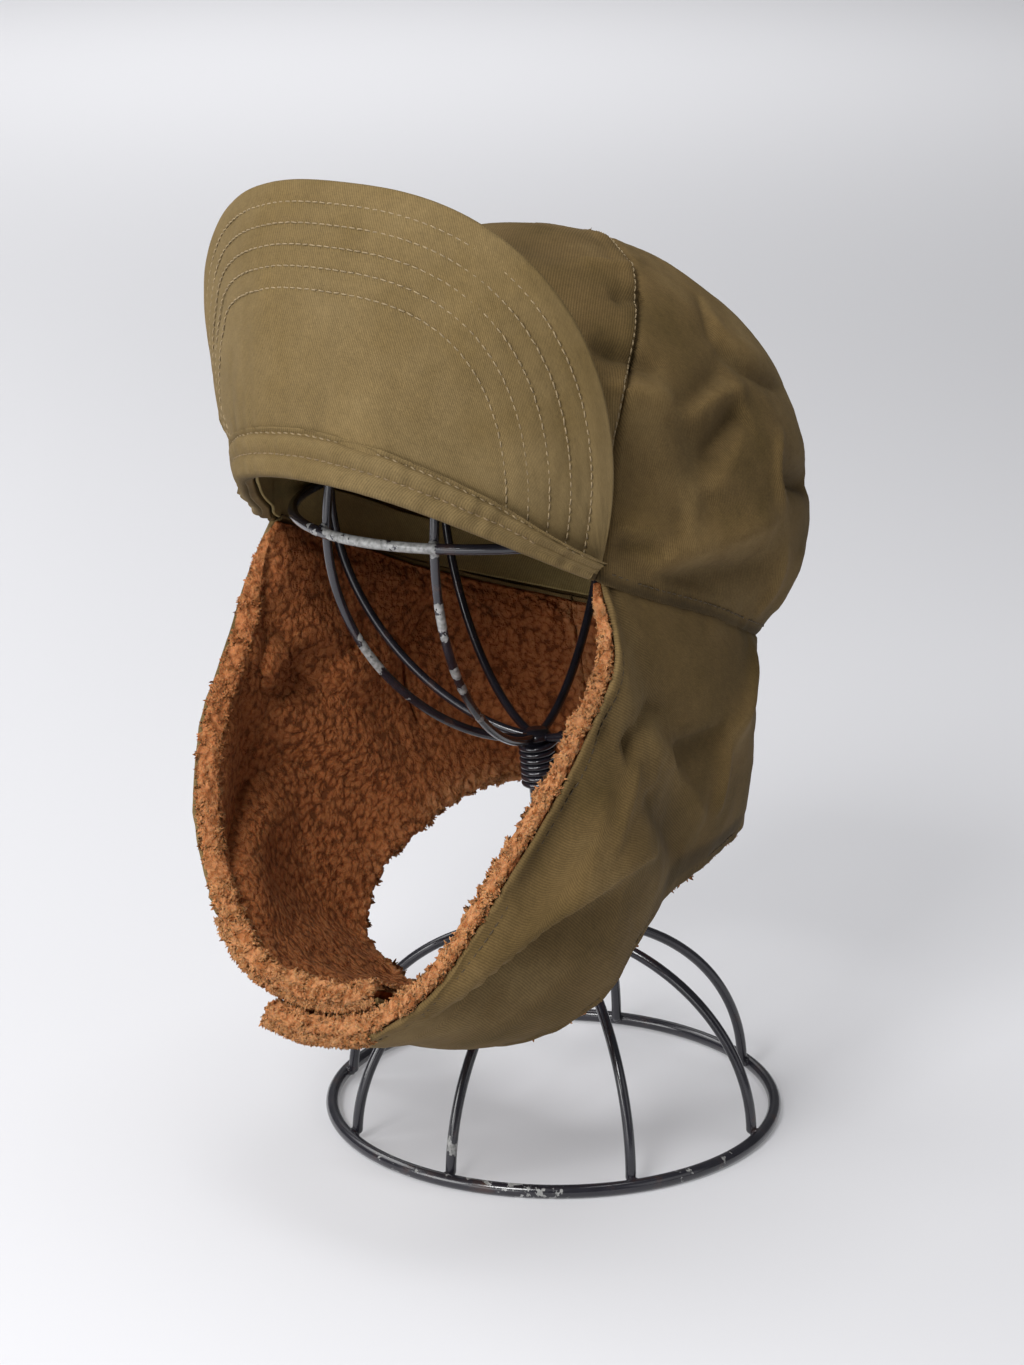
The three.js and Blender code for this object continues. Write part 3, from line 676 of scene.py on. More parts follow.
def resampled(path, spacing):
    """Points every so many millimetres along a path."""
    travelled = lengths_along(path, 0)
    places = np.arange(0, travelled[-1], spacing)
    return np.stack([np.interp(places, travelled, path[:, k]) for k in range(3)], -1)


def along_surface(surface, us, vs, spacing):
    """A path of even steps on a surface, with its normals."""
    points = surface(us, vs)
    travelled = lengths_along(points, 0)
    places = np.arange(0, travelled[-1], spacing)
    u, v = np.interp(places, travelled, us), np.interp(places, travelled, vs)
    return surface(u, v), surface_normal(surface, u, v), u, v


# Materials

def fill(tree, node, **values):
    """Give a node's inputs numbers, colours or sockets. A name has _ for a blank, or is i and a number."""
    for key, value in values.items():
        socket = node.inputs[int(key[1:]) if key[1:].isdigit() else key.replace("_", " ")]
        if isinstance(value, bpy.types.NodeSocket):
            tree.links.new(value, socket)
        else:
            socket.default_value = value
    return node


def add_node(tree, kind, settings=None, **values):
    made = tree.nodes.new(kind)
    for key, value in (settings or {}).items():
        setattr(made, key, value)
    return fill(tree, made, **values)


def colour(tone, gain=1.0):
    """A linear colour from a web colour, or a grey from a number."""
    if not isinstance(tone, str):
        return (tone, tone, tone, 1)
    parts = [int(tone[k:k + 2], 16) / 255 for k in (0, 2, 4)]
    return tuple(gain * (c / 12.92 if c <= 0.04045 else ((c + 0.055) / 1.055) ** 2.4) for c in parts) + (1,)


def new_material(name):
    made = bpy.data.materials.new(name)
    made.use_nodes = True
    return made, made.node_tree, made.node_tree.nodes["Principled BSDF"]


def object_places(tree):
    return add_node(tree, "ShaderNodeTexCoord").outputs["Object"]


def mark_value(tree, name):
    return add_node(tree, "ShaderNodeAttribute", {"attribute_name": name}).outputs["Fac"]


def scaled(tree, places, factors):
    made = add_node(tree, "ShaderNodeVectorMath", {"operation": "MULTIPLY"}, i0=places, i1=factors)
    return made.outputs[0]


def speckle(tree, places, scale, detail=2.0, roughness=0.5):
    made = add_node(tree, "ShaderNodeTexNoise", Vector=places, Scale=scale, Detail=detail,
                    Roughness=roughness)
    return made.outputs["Fac"]


def calc(tree, operation, *values):
    inputs = {f"i{number}": value for number, value in enumerate(values)}
    return add_node(tree, "ShaderNodeMath", {"operation": operation}, **inputs).outputs[0]


def ramp(tree, factor, *stops):
    """Stops are pairs of a place from 0 to 1 and a tone. A tone may also be a finished colour."""
    made = add_node(tree, "ShaderNodeValToRGB", Fac=factor)
    bar = made.color_ramp
    while len(bar.elements) < len(stops):
        bar.elements.new(0.5)
    for element, (place, tone) in zip(bar.elements, stops):
        element.position = place
        element.color = tone if isinstance(tone, tuple) else colour(tone)
    return made.outputs["Color"]


def mixed(tree, factor, a, b, blend="MIX"):
    settings = {"data_type": "RGBA", "blend_type": blend}
    return add_node(tree, "ShaderNodeMix", settings, i0=factor, i6=a, i7=b).outputs[2]


def bumped(tree, height, strength, distance):
    made = add_node(tree, "ShaderNodeBump", Strength=strength, Distance=distance, Height=height)
    return made.outputs["Normal"]


def twill(name, deep, base, light, bump=0.22):
    """Cotton twill: slanted ribs of thread on a flat map in millimetres, with slight fading and fibre."""
    made, tree, shader = new_material(name)
    flat = add_node(tree, "ShaderNodeUVMap", {"uv_map": "cloth"}).outputs["UV"]
    ribs = add_node(tree, "ShaderNodeTexWave", {"wave_type": "BANDS", "bands_direction": "DIAGONAL"},
                    Vector=scaled(tree, flat, (1.5, 0.8, 0)), Scale=0.46, Distortion=0.7, Detail=1.0,
                    Detail_Scale=1.5).outputs["Fac"]
    fibre = speckle(tree, flat, 1.1, 3.0, 0.75)
    shade = calc(tree, "MULTIPLY_ADD", fibre, 0.64, 0.67)
    for stretch in ((0.3, 2.4, 0), (2.4, 0.35, 0)):
        streaks = speckle(tree, scaled(tree, flat, stretch), 1.0, 2.0, 0.7)
        shade = calc(tree, "ADD", shade, calc(tree, "MULTIPLY_ADD", streaks, 0.38, -0.19))
    # Thread ribs and a slow drift in tone, then the fold mark, which is painted shade: darker where it is
    # high, lighter below 0
    for source, share, level in ((ribs, 0.34, 0.8), (speckle(tree, flat, 0.3), 0.3, 0.85),
                                 (mark_value(tree, "fold"), -0.3, 1.0)):
        shade = calc(tree, "MULTIPLY", shade, calc(tree, "MULTIPLY_ADD", source, share, level))
    grey = add_node(tree, "ShaderNodeCombineColor", Red=shade, Green=shade, Blue=shade).outputs[0]
    fade = speckle(tree, object_places(tree), 24.0, 4.0, 0.6)
    patches = ramp(tree, fade, (0.3, deep), (0.5, base), (0.72, light))
    height = calc(tree, "MULTIPLY_ADD", fibre, 0.7, ribs)
    fill(tree, shader, Base_Color=mixed(tree, 1.0, patches, grey, "MULTIPLY"),
         Normal=bumped(tree, height, bump, 0.0004), Roughness=0.88, Specular_IOR_Level=0.2,
         Sheen_Weight=0.04, Sheen_Roughness=0.5, Sheen_Tint=colour("b5a070"))
    return made


def thread_material(name, tone):
    """Sewing thread: fine fibre in one colour."""
    made, tree, shader = new_material(name)
    fuzz = speckle(tree, object_places(tree), 900.0)
    fill(tree, shader, Base_Color=ramp(tree, fuzz, (0.3, colour(tone, 0.7)), (0.7, colour(tone, 1.15))),
         Normal=bumped(tree, fuzz, 0.4, 0.0002), Roughness=0.7)
    return made


def fleece_material():
    """Curly pile: small pebbles of wool with painted shade in the gaps on the inside, and longer paler wool
    on the edges. The inner face is painted darker than the edges, partly as shade inside the cap.
    """
    made, tree, shader = new_material("fleece")
    place = object_places(tree)
    stray = add_node(tree, "ShaderNodeTexNoise", Vector=place, Scale=330.0, Detail=3.0, Roughness=0.65)
    strayed = add_node(tree, "ShaderNodeVectorMath", {"operation": "MULTIPLY_ADD"},
                       i0=stray.outputs["Color"], i1=(0.0038, 0.0038, 0.0038), i2=place)
    curls = add_node(tree, "ShaderNodeTexVoronoi", {"feature": "SMOOTH_F1"},
                     Vector=strayed.outputs[0], Scale=420.0, Smoothness=0.35)
    dome = ramp(tree, curls.outputs["Distance"], (0.15, 1.0), (0.42, 0.82), (0.6, 0.5), (0.8, 0.0))
    fibre = speckle(tree, place, 1300.0, 3.0, 0.7)
    level = calc(tree, "ADD", dome, calc(tree, "MULTIPLY_ADD", fibre, 0.3, -0.15))
    # Inner tones: painted shade in the gaps between pebbles and over the inner face. Outer tones: the edge
    # wool's own paler tips and painted light
    inner = ramp(tree, level, (0.0, "693a1e"), (0.4, "8b4f2a"), (0.8, "9b5e37"), (1.0, "a5673d"))
    outer = ramp(tree, level, (0.0, "935a33"), (0.5, "a97148"), (1.0, "b57e54"))
    tones = mixed(tree, mark_value(tree, "nap_and_light"), inner, outer)
    cloudy = ramp(tree, speckle(tree, place, 60.0, 3.0), (0.3, 0.88), (0.7, 1.06))
    height = calc(tree, "MULTIPLY_ADD", fibre, 0.22, dome)
    fill(tree, shader, Base_Color=mixed(tree, 1.0, tones, cloudy, "MULTIPLY"),
         Normal=bumped(tree, height, 0.9, 0.0014), Roughness=0.95, Specular_IOR_Level=0.1,
         Sheen_Weight=0.12, Sheen_Roughness=0.6, Sheen_Tint=colour("d9a071"),
         Subsurface_Weight=0.4, Subsurface_Radius=(1.0, 0.5, 0.25), Subsurface_Scale=0.002)
    return made


def wire_material():
    """Black paint with a soft gloss. It is chipped down to bare silver where the wear mark is high."""
    made, tree, shader = new_material("chipped_wire_paint")
    place = object_places(tree)
    ripple = speckle(tree, place, 700.0)
    edge = calc(tree, "ADD", mark_value(tree, "wear"), speckle(tree, place, 210.0, 4.0, 0.65))
    bare = ramp(tree, edge, (0.0, 0.0), (0.985, 0.0), (1.0, 1.0))
    rust = speckle(tree, place, 120.0, 3.0)
    paint = ramp(tree, rust, (0.3, "19181f"), (0.6, "25242b"), (0.75, "3a2a27"))
    silver = ramp(tree, ripple, (0.3, "6a6a68"), (0.7, "a5a5a3"))
    height = calc(tree, "SUBTRACT", calc(tree, "MULTIPLY", ripple, 0.25), bare)
    fill(tree, shader, Base_Color=mixed(tree, bare, paint, silver),
         Roughness=mixed(tree, bare, colour(0.22), colour(0.5)), Normal=bumped(tree, height, 0.5, 0.0003),
         Specular_IOR_Level=0.55, Coat_Weight=0.4, Coat_Roughness=0.12)
    return made


CLOTH = twill("olive_twill", "574626", "665231", "75613e")
# A lighter copy of the olive twill for the peak and its band: painted light where the lamps fall on them
# most
CLOTH_PEAK_LIT = twill("olive_twill_peak_lit", "655331", "6d5b3a", "756342")
# The lining twill is lighter than the outer cloth: partly its own colour, partly painted light inside the
# cap, where little lamp light reaches
CLOTH_INSIDE = twill("olive_lining_twill", "8a7850", "968457", "a18f60", bump=0.12)
THREAD = thread_material("pale_thread", "8c7959")
THREAD_BAND = thread_material("brown_thread", "7d694a")
THREAD_DARK = thread_material("olive_thread", "4a3b22")
FLEECE = fleece_material()
WIRE = wire_material()


# Crown

def front_seam(share):
    return np.radians(sum(looked_up(FRONT_SEAM, share + step) for step in (-0.03, -0.01, 0.01, 0.03)) / 4)


def back_seam(share):
    return np.radians(BACK_SEAM) + 0 * share


def front_seam_right(share):
    return math.pi - front_seam(share)


def back_seam_right(share):
    return math.pi - back_seam(share)


# Name, seam at each side, columns, height of the stitched band beside the seams
CROWN_PANELS = [
    ("crown_front", lambda share: front_seam_right(share) - 2 * math.pi, front_seam, 108, 0.7),
    ("crown_side_left", front_seam, back_seam, 66, 0.15),
    ("crown_back", back_seam, back_seam_right, 74, 0.7),
    ("crown_side_right", back_seam_right, front_seam_right, 66, 0.15),
]


def seam_relief(distance, along, seed, raised):
    """A seam is a groove with a slightly raised, puckered band beside it."""
    pucker = 0.4 * noise(along / 5.5, distance / 20, seed) * bell(distance, 3, 6)
    return raised * between(distance, 1.0, 2.5, 5, 8) - 1.5 * bell(distance, 0, 1.2) + pucker


def crown_panel(number, name, left, right, columns, raised):
    def angle(u, share):
        return left(share) + (right(share) - left(share)) * u

    def surface(u, share):
        return crown_point(angle(u, share), share)

    def relief(u, share, points):
        along, up = lengths_along(points, 0), lengths_along(points, 1)
        beside = (seam_relief(along, up, 40 + number, raised)
                  + seam_relief(along[-1:] - along, up, 50 + number, raised))
        ripple = 0.5 * noise(along / 5 + 9 * number, up / 14, 61) * bell(up, 4, 5)
        return beside + 1.3 * (1 - smooth(up, 5, 9)) + ripple - 0.5 * bell(up, 4.6, 0.8)

    def shade_mark(u, share):
        # Painted shade: darker in the valleys of the folds and lighter on their ridges, darker along the
        # crown's foot and along the seam grooves between panels
        folds = FOLD_SHADE["most"] * np.tanh(crown_folds(angle(u, share), share) / FOLD_SHADE["crown"])
        at_foot = 1.5 * bell(share, 0, 0.012) + 0.35 * bell(share, 0, 0.05)
        return folds + at_foot + 0.5 * bell(np.minimum(u, 1 - u) * PANEL_MIDDLE, 0, 1.6)

    slab(name, surface, fine_ends(columns, PANEL_FOOT, 1.2),
         fine_ends(78, MERIDIAN, 1.2, CROWN_FOOT, 0.998), CROWN_WALL, CLOTH, relief, shade_mark)


# Sewing: each stitch is a short bowed bar that dips into the cloth at both ends

def stitches(name, runs, material, length=2.5, gap=0.55, radius=0.3, lift=0.25, slant=0.0):
    """Runs are pairs of path points and normals, a small step apart."""
    parts = []
    sides = 5
    profile, bow, girth = STITCH.T
    ids = numbered(len(profile), sides)
    caps = np.stack([ids[0], ids[-1][::-1]])
    for run_number, (path, normals) in enumerate(runs):
        travelled = lengths_along(path, 0)
        starts = np.arange(gap, travelled[-1] - length, length + gap)
        jitter = hashed(np.arange(len(starts)), np.array([run_number]), 5) - 0.5
        places = (starts + length / 2)[:, None] + profile * (length * (1 + 0.16 * jitter))[:, None]
        line = np.stack([np.interp(places, travelled, path[:, k]) for k in range(3)], -1)
        up = unit(np.stack([np.interp(places, travelled, normals[:, k]) for k in range(3)], -1))
        side = unit(np.cross(unit(np.gradient(line, axis=1)), up))
        turned = (slant + 0.3 * jitter)[:, None, None] * side * profile[:, None] * 2
        line = line + up * (lift * bow)[:, None] + turned
        points = line[:, :, None] + spokes(side, up, sides) * (radius * girth)[:, None, None]
        parts.append((points.reshape(-1, 3), [
            repeated(grid_faces(ids, closed_v=True), len(starts), ids.size),
            repeated(caps, len(starts), ids.size)]))
    new_object(name, *joined(parts), material)


def crown_seam_rows():
    """Topstitching beside the crown seams, on the front and back panels."""
    shares = np.linspace(0.03, 0.97, 300)
    rows = []
    seams = ((front_seam, -1), (back_seam, 1), (front_seam_right, 1), (back_seam_right, -1))
    for seam, side in seams:
        step = crown_point(seam(shares) + 0.01, shares) - crown_point(seam(shares) - 0.01, shares)
        girth = np.maximum(np.linalg.norm(step, axis=-1) / 0.02, 8)
        path, normals, _, _ = along_surface(crown_point, seam(shares) + side * SEAM_ROW / girth, shares, 0.5)
        rows.append((path + normals * 0.45, normals))
    return rows


def rim_row():
    """Topstitching above the rim, from temple to temple round the back."""
    angles = np.linspace(TEMPLE, math.pi - TEMPLE, 900)
    path, normals, _, _ = along_surface(crown_point, angles, np.full(900, RIM_ROW / MERIDIAN), 0.5)
    return path + normals * 0.8, normals


def crown():
    for number, panel in enumerate(CROWN_PANELS):
        crown_panel(number, *panel)
    stitches("crown_stitches", crown_seam_rows(), THREAD, radius=0.26)
    stitches("rim_stitches", [rim_row()], THREAD_DARK, radius=0.3)


# Peak

def distance_to(points, curve):
    """Shortest distance from each point of a table to a densely drawn curve."""
    flat = points.reshape(-1, 3)
    result = np.empty(len(flat))
    for start in range(0, len(flat), 4000):
        some = flat[start:start + 4000]
        result[start:start + 4000] = np.sqrt(((some[:, None] - curve[None]) ** 2).sum(-1).min(1))
    return result.reshape(points.shape[:-1])


def peak_edge():
    across = peak_columns(900)
    return peak_point(across, np.ones_like(across))


def peak_relief(across, share, points):
    to_edge = distance_to(points, peak_edge())
    total = 0.28 * bell(to_edge, 4.2, 2.4)
    for row in PEAK_ROWS:
        total -= 0.34 * bell(to_edge, row, 0.9)
    x = across * PEAK_HALF_WIDTH
    total += 0.2 * noise(x / 3.2, to_edge / 3.6, 71) * between(to_edge, 6, 9, 36, 42)
    total += 0.8 * layered(x / 24, share * 3.2, 73)
    return total + foot_creases(across, share)


def foot_creases(across, share):
    """Short upright creases where the peak is gathered into its band."""
    height = peak_height(across) * share
    return -sum(depth * np.exp(-((across - place - lean * height) / width) ** 2 - (height / reach) ** 2)
                for place, lean, width, reach, depth in FOOT_CREASES)


# Painted shade in the creases at the peak's foot and in its broad hollows, lighter on its swells, with a
# little uneven tone
def peak_painted_shade(across, share):
    x = across * PEAK_HALF_WIDTH
    return (-0.5 * foot_creases(across, share) - 0.35 * layered(x / 24, share * 3.2, 73)
            + 0.18 * layered(x / 9, share * 8, 75))


def peak_rows():
    """Each row keeps its distance from the peak's edge and ends at the foot."""
    across, shares = peak_columns(700), np.linspace(0, 1, 260)
    to_edge = distance_to(peak_point(*np.meshgrid(across, shares, indexing="ij")), peak_edge()[::2])
    for row in PEAK_ROWS:
        columns = np.nonzero(to_edge[:, 0] > row)[0]
        places = []
        for column in columns:
            outer = np.nonzero(to_edge[column] >= row)[0][-1]
            step = to_edge[column, outer] - to_edge[column, min(outer + 1, 259)]
            beyond = (to_edge[column, outer] - row) / max(step, 1e-6)
            places.append(shares[outer] + beyond * (shares[1] - shares[0]))
        us, vs = across[columns], np.clip(places, 0, 1)
        us = np.concatenate([[us[0]] * 30, us, [us[-1]] * 30])
        vs = np.concatenate([np.linspace(0.02, vs[0], 30), vs, np.linspace(vs[-1], 0.02, 30)])
        yield us, vs


def peak():
    slab("peak", peak_point, peak_columns(214), fine_ends(66, PEAK["height"], 1.2), PEAK["wall"], CLOTH_PEAK_LIT,
         peak_relief, peak_painted_shade)
    front, behind = [], []
    for u, v in peak_rows():
        path, normals, _, _ = along_surface(peak_point, u, v, 0.5)
        front.append((path - normals * 0.12, normals))
        behind.append((path - normals * (PEAK["wall"] - 0.05), -normals))
    stitches("peak_stitches", front, THREAD, radius=0.27)
    stitches("peak_stitches_behind", behind, THREAD, radius=0.27)


def band_section(angle, turn):
    """Roll of cloth round the foot of the peak: turn 0 is behind its top edge, 1 inside the rim."""
    across = ((angle + math.pi / 2) / PEAK_SPAN)[:, None]
    inset = brow_inset(angle)[:, None]
    squeeze = looked_up(BAND_ROW_HEIGHTS, np.abs(across)) / BAND_TOP_ROW
    knots = np.linspace(0, 1, len(BAND_PROFILE))
    height, away = (np.interp(turn, knots, column) for column in BAND_PROFILE.T)
    thinner = 1 - 0.35 * inset / PEAK["inset"]
    offset = peak_lean(across, np.maximum(height, 0)[None, :])
    offset = offset + np.where(away > 0, away * (0.5 + 0.5 * squeeze), away * thinner)
    tall = np.where(height > 0, height * squeeze, height + 0 * squeeze)
    offset = offset + inset * smooth(tall, 5, 26)
    return rim(angle)[:, None] + outward(angle)[:, None] * offset[..., None] + CAP_UP * tall[..., None]


def peak_band():
    """The roll has two stitched grooves and small gathers between them."""
    across = np.linspace(-BAND_END, BAND_END, 380)
    angles = -math.pi / 2 + across * PEAK_SPAN
    turn = np.linspace(0, 1, 61)
    points = band_section(angles, turn)
    along = lengths_along(points[:, 25], 0)[:, None]
    normals = unit(np.cross(np.gradient(points, axis=0), np.gradient(points, axis=1)))
    puff = 0.42 * noise(along / 3.4, turn * 3, 81) + 0.3 * noise(along / 8, turn * 4, 82)
    plain = 1 - 0.85 * brow_inset(angles)[:, None] / PEAK["inset"]
    points = points - normals * (puff * between(turn, 0.02, 0.1, 0.62, 0.75) * plain)[..., None]
    ids = numbered(*points.shape[:2])
    faces = [grid_faces(ids, closed_v=True)[:, ::-1], ids[0][None, :], ids[-1][::-1][None, :]]
    shaded = 1.7 * smooth(turn, 0.66, 0.8) + 0 * along
    new_object("peak_band", points.reshape(-1, 3), faces, CLOTH_PEAK_LIT, nodes=["peak_band"], slot="twill",
               uv=cloth_uv(points), marks={"fold": shaded.ravel()})
    finished = unit(np.cross(np.gradient(points, axis=1), np.gradient(points, axis=0)))
    rows = []
    for place, reach in BAND_STITCHED:
        chosen = np.abs(across) < reach
        path = resampled(points[chosen, place], 0.5)
        rows.append((path, finished[chosen, place][np.linspace(0, chosen.sum() - 1, len(path)).astype(int)]))
    stitches("peak_band_stitches_upper", rows[:1], THREAD, length=2.4, gap=0.6, radius=0.33, lift=0.3,
             slant=0.3)
    stitches("peak_band_stitches_lower", rows[1:], THREAD_BAND, length=2.3, radius=0.29, lift=0.28)


# Inside band

def sweatband():
    angles = np.linspace(0, 2 * math.pi, 181)[:-1]

    def surface(angle, share):
        return crown_point(angle, share * SWEATBAND["height"] - SWEATBAND["below"])

    def relief(u, v, points):
        return 0.5 * layered(u * SWEATBAND["radius"] / 16, v * 1.5, 91) - 0.25 * bell(v, 0.93, 0.02)

    def shade_mark(angle, share):
        # Darker towards the band's lower edge
        return 1.0 - smooth(share, 0.02, 0.12)

    slab("sweatband", surface, angles, fine_ends(18, 20, 0.6), SWEATBAND["wall"], CLOTH_INSIDE, relief, shade_mark,
         shift=lambda u, v: -SWEATBAND["inside"] + 0 * u, closed=True, slot="twill_lining")


# Ear and neck flaps

def flap_shift(run, side):
    return side * OVERLAP["shift"] * smooth(np.abs(run), OVERLAP["from"], OVERLAP["to"])


def flap_relief(u, points, seed):
    up = lengths_along(points, 1)
    down = up[:, -1:] - up
    x = lengths_along(points, 0)
    open_front = smooth(np.abs(u), 0.497, 0.503)
    tuck = -3.0 * (1 - smooth(up, 1.5, 4.6))
    pucker = 0.6 * noise(x / 6, up / 12, seed) * bell(up, 4, 8)
    total = (tuck + pucker) * (1 - open_front)
    for distance, share in ((up, open_front), (down, 1.0)):
        wave = 0.4 * noise(x / 5.2, distance / 9, seed + 3) * bell(distance, 3.5, 5)
        groove = 0.35 * bell(distance, 2.2, 1.6) - 0.45 * bell(distance, HEM_ROW, 0.8)
        total = total + (groove + wave) * share
    return total


def flap_cloth(name, start, end, columns, side, seed):
    def surface(run, share):
        top = FLAP_TUCK * (1 - smooth(np.abs(run), 0.492, 0.5))
        return flap_point(run, top + (1 - top) * share)

    def shade_mark(run, share):
        # Painted shade: darker in the fold valleys and lighter on the ridges, a dark line just below the
        # crown's edge and a darker curled hem. It takes the other flap's unevenness, so it isn't that of the
        # shape
        far = np.abs(run)
        depth = np.where(run < 0, FLAP_RELIEFS[0](far, share), FLAP_RELIEFS[1](far, share))
        folds = FOLD_SHADE["most"] * np.tanh(depth / FOLD_SHADE["flap"])
        under_crown = 2.0 * bell(np.maximum(share - 0.018, 0), 0, 0.016) * (far < 0.5)
        hem = smooth(share, 0.84, 0.89) * (1 - 0.6 * smooth(share, 0.93, 0.97))
        return folds + under_crown + 1.7 * hem_window(far) * hem

    slab(name, surface, fine_ends(columns, FLAP_RUN * (end - start), 0.9, start, end),
         fine_ends(46, FLAP_DROP, 0.9), FLAP_WALL, CLOTH, lambda u, v, points: flap_relief(u, points, seed),
         shade_mark, shift=lambda u, v: flap_shift(u, side))


def flap_rows(start, end, side):
    """Topstitching near the front and lower edges of a flap."""
    rows = []
    runs = np.linspace(start, end, 900)
    drop = np.linalg.norm(flap_point(runs, np.ones(900)) - flap_point(runs, np.zeros(900)), axis=-1)
    open_part = np.abs(runs) > 0.515
    for share, chosen in ((HEM_ROW / drop, open_part), (1 - HEM_ROW / drop, np.full(900, True))):
        if chosen.sum() < 20:
            continue
        path, normals, u, _ = along_surface(flap_point, runs[chosen], share[chosen], 0.5)
        rows.append((path + normals * (flap_shift(u, side) - 0.42)[:, None], normals))
    return rows


# Fleece

def pile_wall(run, share):
    swell = np.maximum(smooth(np.abs(run), 0.5, 0.6), smooth(share, 0, PILE["seam_share"]))
    return PILE["seam_wall"] + (looked_up(PILE_WALLS, np.abs(run)) - PILE["seam_wall"]) * swell


def pile_edge_shade(run):
    """The right flap's edge is painted in shade, as brown as the inside, near the temple and is pale only at
    the chin.
    """
    return looked_up(PILE_EDGE_SHADE, -run)


def fleece(name, start, end, columns, side, seed, rounded):
    """A closed roll: a plain back against the cloth, two round edges and a curly inner face."""
    length = FLAP_RUN * (end - start)
    us = fine_ends(columns, length, 3.0, start, end)
    back, edge, face = PILE_ROWS["back"], PILE_ROWS["edge"], PILE_ROWS["face"]
    bend = np.linspace(-math.pi / 2, math.pi / 2, edge + 2)[1:-1]
    shares = np.concatenate(
        [np.linspace(0, 1, back), np.ones(edge), np.linspace(1, 0, face), np.zeros(edge)])
    depths = np.concatenate([np.zeros(back), (1 + np.sin(bend)) / 2, np.ones(face), (1 - np.sin(bend)) / 2])
    lips = np.concatenate([np.zeros(back), np.cos(bend), np.zeros(face), -np.cos(bend)])
    u = us[:, None] + 0 * shares[None, :]
    top = PILE_TOP * (1 - smooth(np.abs(u), 0.49, 0.52))
    share = top + (1 - top) * shares[None, :]
    surface, normals = flap_point(u, share), surface_normal(flap_point, u, share, 0.014)
    down = unit(flap_point(u, share + 0.01) - flap_point(u, share - 0.01))
    open_top = smooth(np.abs(us), 0.5, 0.53)[:, None]
    lip = np.where(lips < 0, 0.3 + (PILE["lip"] - 0.3) * open_top, PILE["lip"]) * lips[None, :]
    from_end = np.minimum((u - start) * FLAP_RUN, (end - u) * FLAP_RUN)
    ends = np.sqrt(np.clip(1 - (1 - np.clip(from_end / rounded, 0, 1)) ** 2, 0.0004, 1))
    thickness = pile_wall(u, shares[None, :])
    sunk = 2.2 * smooth(shares * (1 - shares), 0.02, 0.08)[None, :] * (1 - depths[None, :])
    middle = flap_shift(u, side) - PILE["under"] - thickness / 2 - sunk
    points = surface + down * lip[..., None] * ends[..., None]
    cover = PILE["cover"] * np.abs(lip) / PILE["lip"] * smooth(np.abs(lip), 0.3, 1.0)
    points = points + normals * (middle + (0.5 - depths[None, :]) * thickness * ends + cover)[..., None]

    a = lengths_along(points[:, 60:61], 0) + 0 * share
    b = lengths_along(points, 1)
    warp_a = a + 2.6 * noise(a / 9, b / 9, seed) + 0.7 * noise(a / 3.2, b / 3.2, seed + 1)
    warp_b = b + 2.6 * noise(a / 9, b / 9, seed + 2) + 0.7 * noise(a / 3.2, b / 3.2, seed + 3)
    clumps, clump_number = cells(warp_a / 4.8, warp_b / 4.2, seed + 5)
    broad = layered(a / 13, b / 11, seed + 6)
    at_edge = np.concatenate([np.zeros(back), np.ones(edge), np.zeros(face), np.ones(edge)])
    inner = np.concatenate([np.zeros(back + edge), np.ones(face), np.zeros(edge)])
    near_edge = np.maximum(at_edge, inner * bell(np.minimum(shares, 1 - shares), 0, 0.045))
    near_edge = near_edge * (1 - (1 - open_top) * (shares[None, :] < 0.5))
    near_edge = np.maximum(near_edge, bell(from_end, 0, 7) * inner)
    outer = at_edge + inner
    height = 0.8 * broad * (1 - 0.6 * near_edge)
    height = height + near_edge * (1.7 * clumps * (0.5 + 0.8 * clump_number) - 1.0)
    facing = unit(np.cross(np.gradient(points, axis=0), np.roll(points, -1, 1) - np.roll(points, 1, 1)))
    amount = height * np.clip(thickness / PILE["wall"], 0.3, 1) * outer
    points = points + facing * (amount * np.clip(from_end / 2, 0, 1))[..., None]
    # How much a place shows the paler edge wool and its painted light instead of the inner pile and its
    # painted shade
    nap_and_light = np.clip(near_edge * (0.75 + 0.25 * clumps) * outer, 0, 1) * pile_edge_shade(u)

    ids = numbered(*points.shape[:2])
    faces = [grid_faces(ids, closed_v=True), ids[0][None, :], ids[-1][::-1][None, :]]
    new_object(name, points.reshape(-1, 3), faces, FLEECE, nodes=[name], slot="pile",
               marks={"nap_and_light": nap_and_light.ravel()})
    return points, facing, us


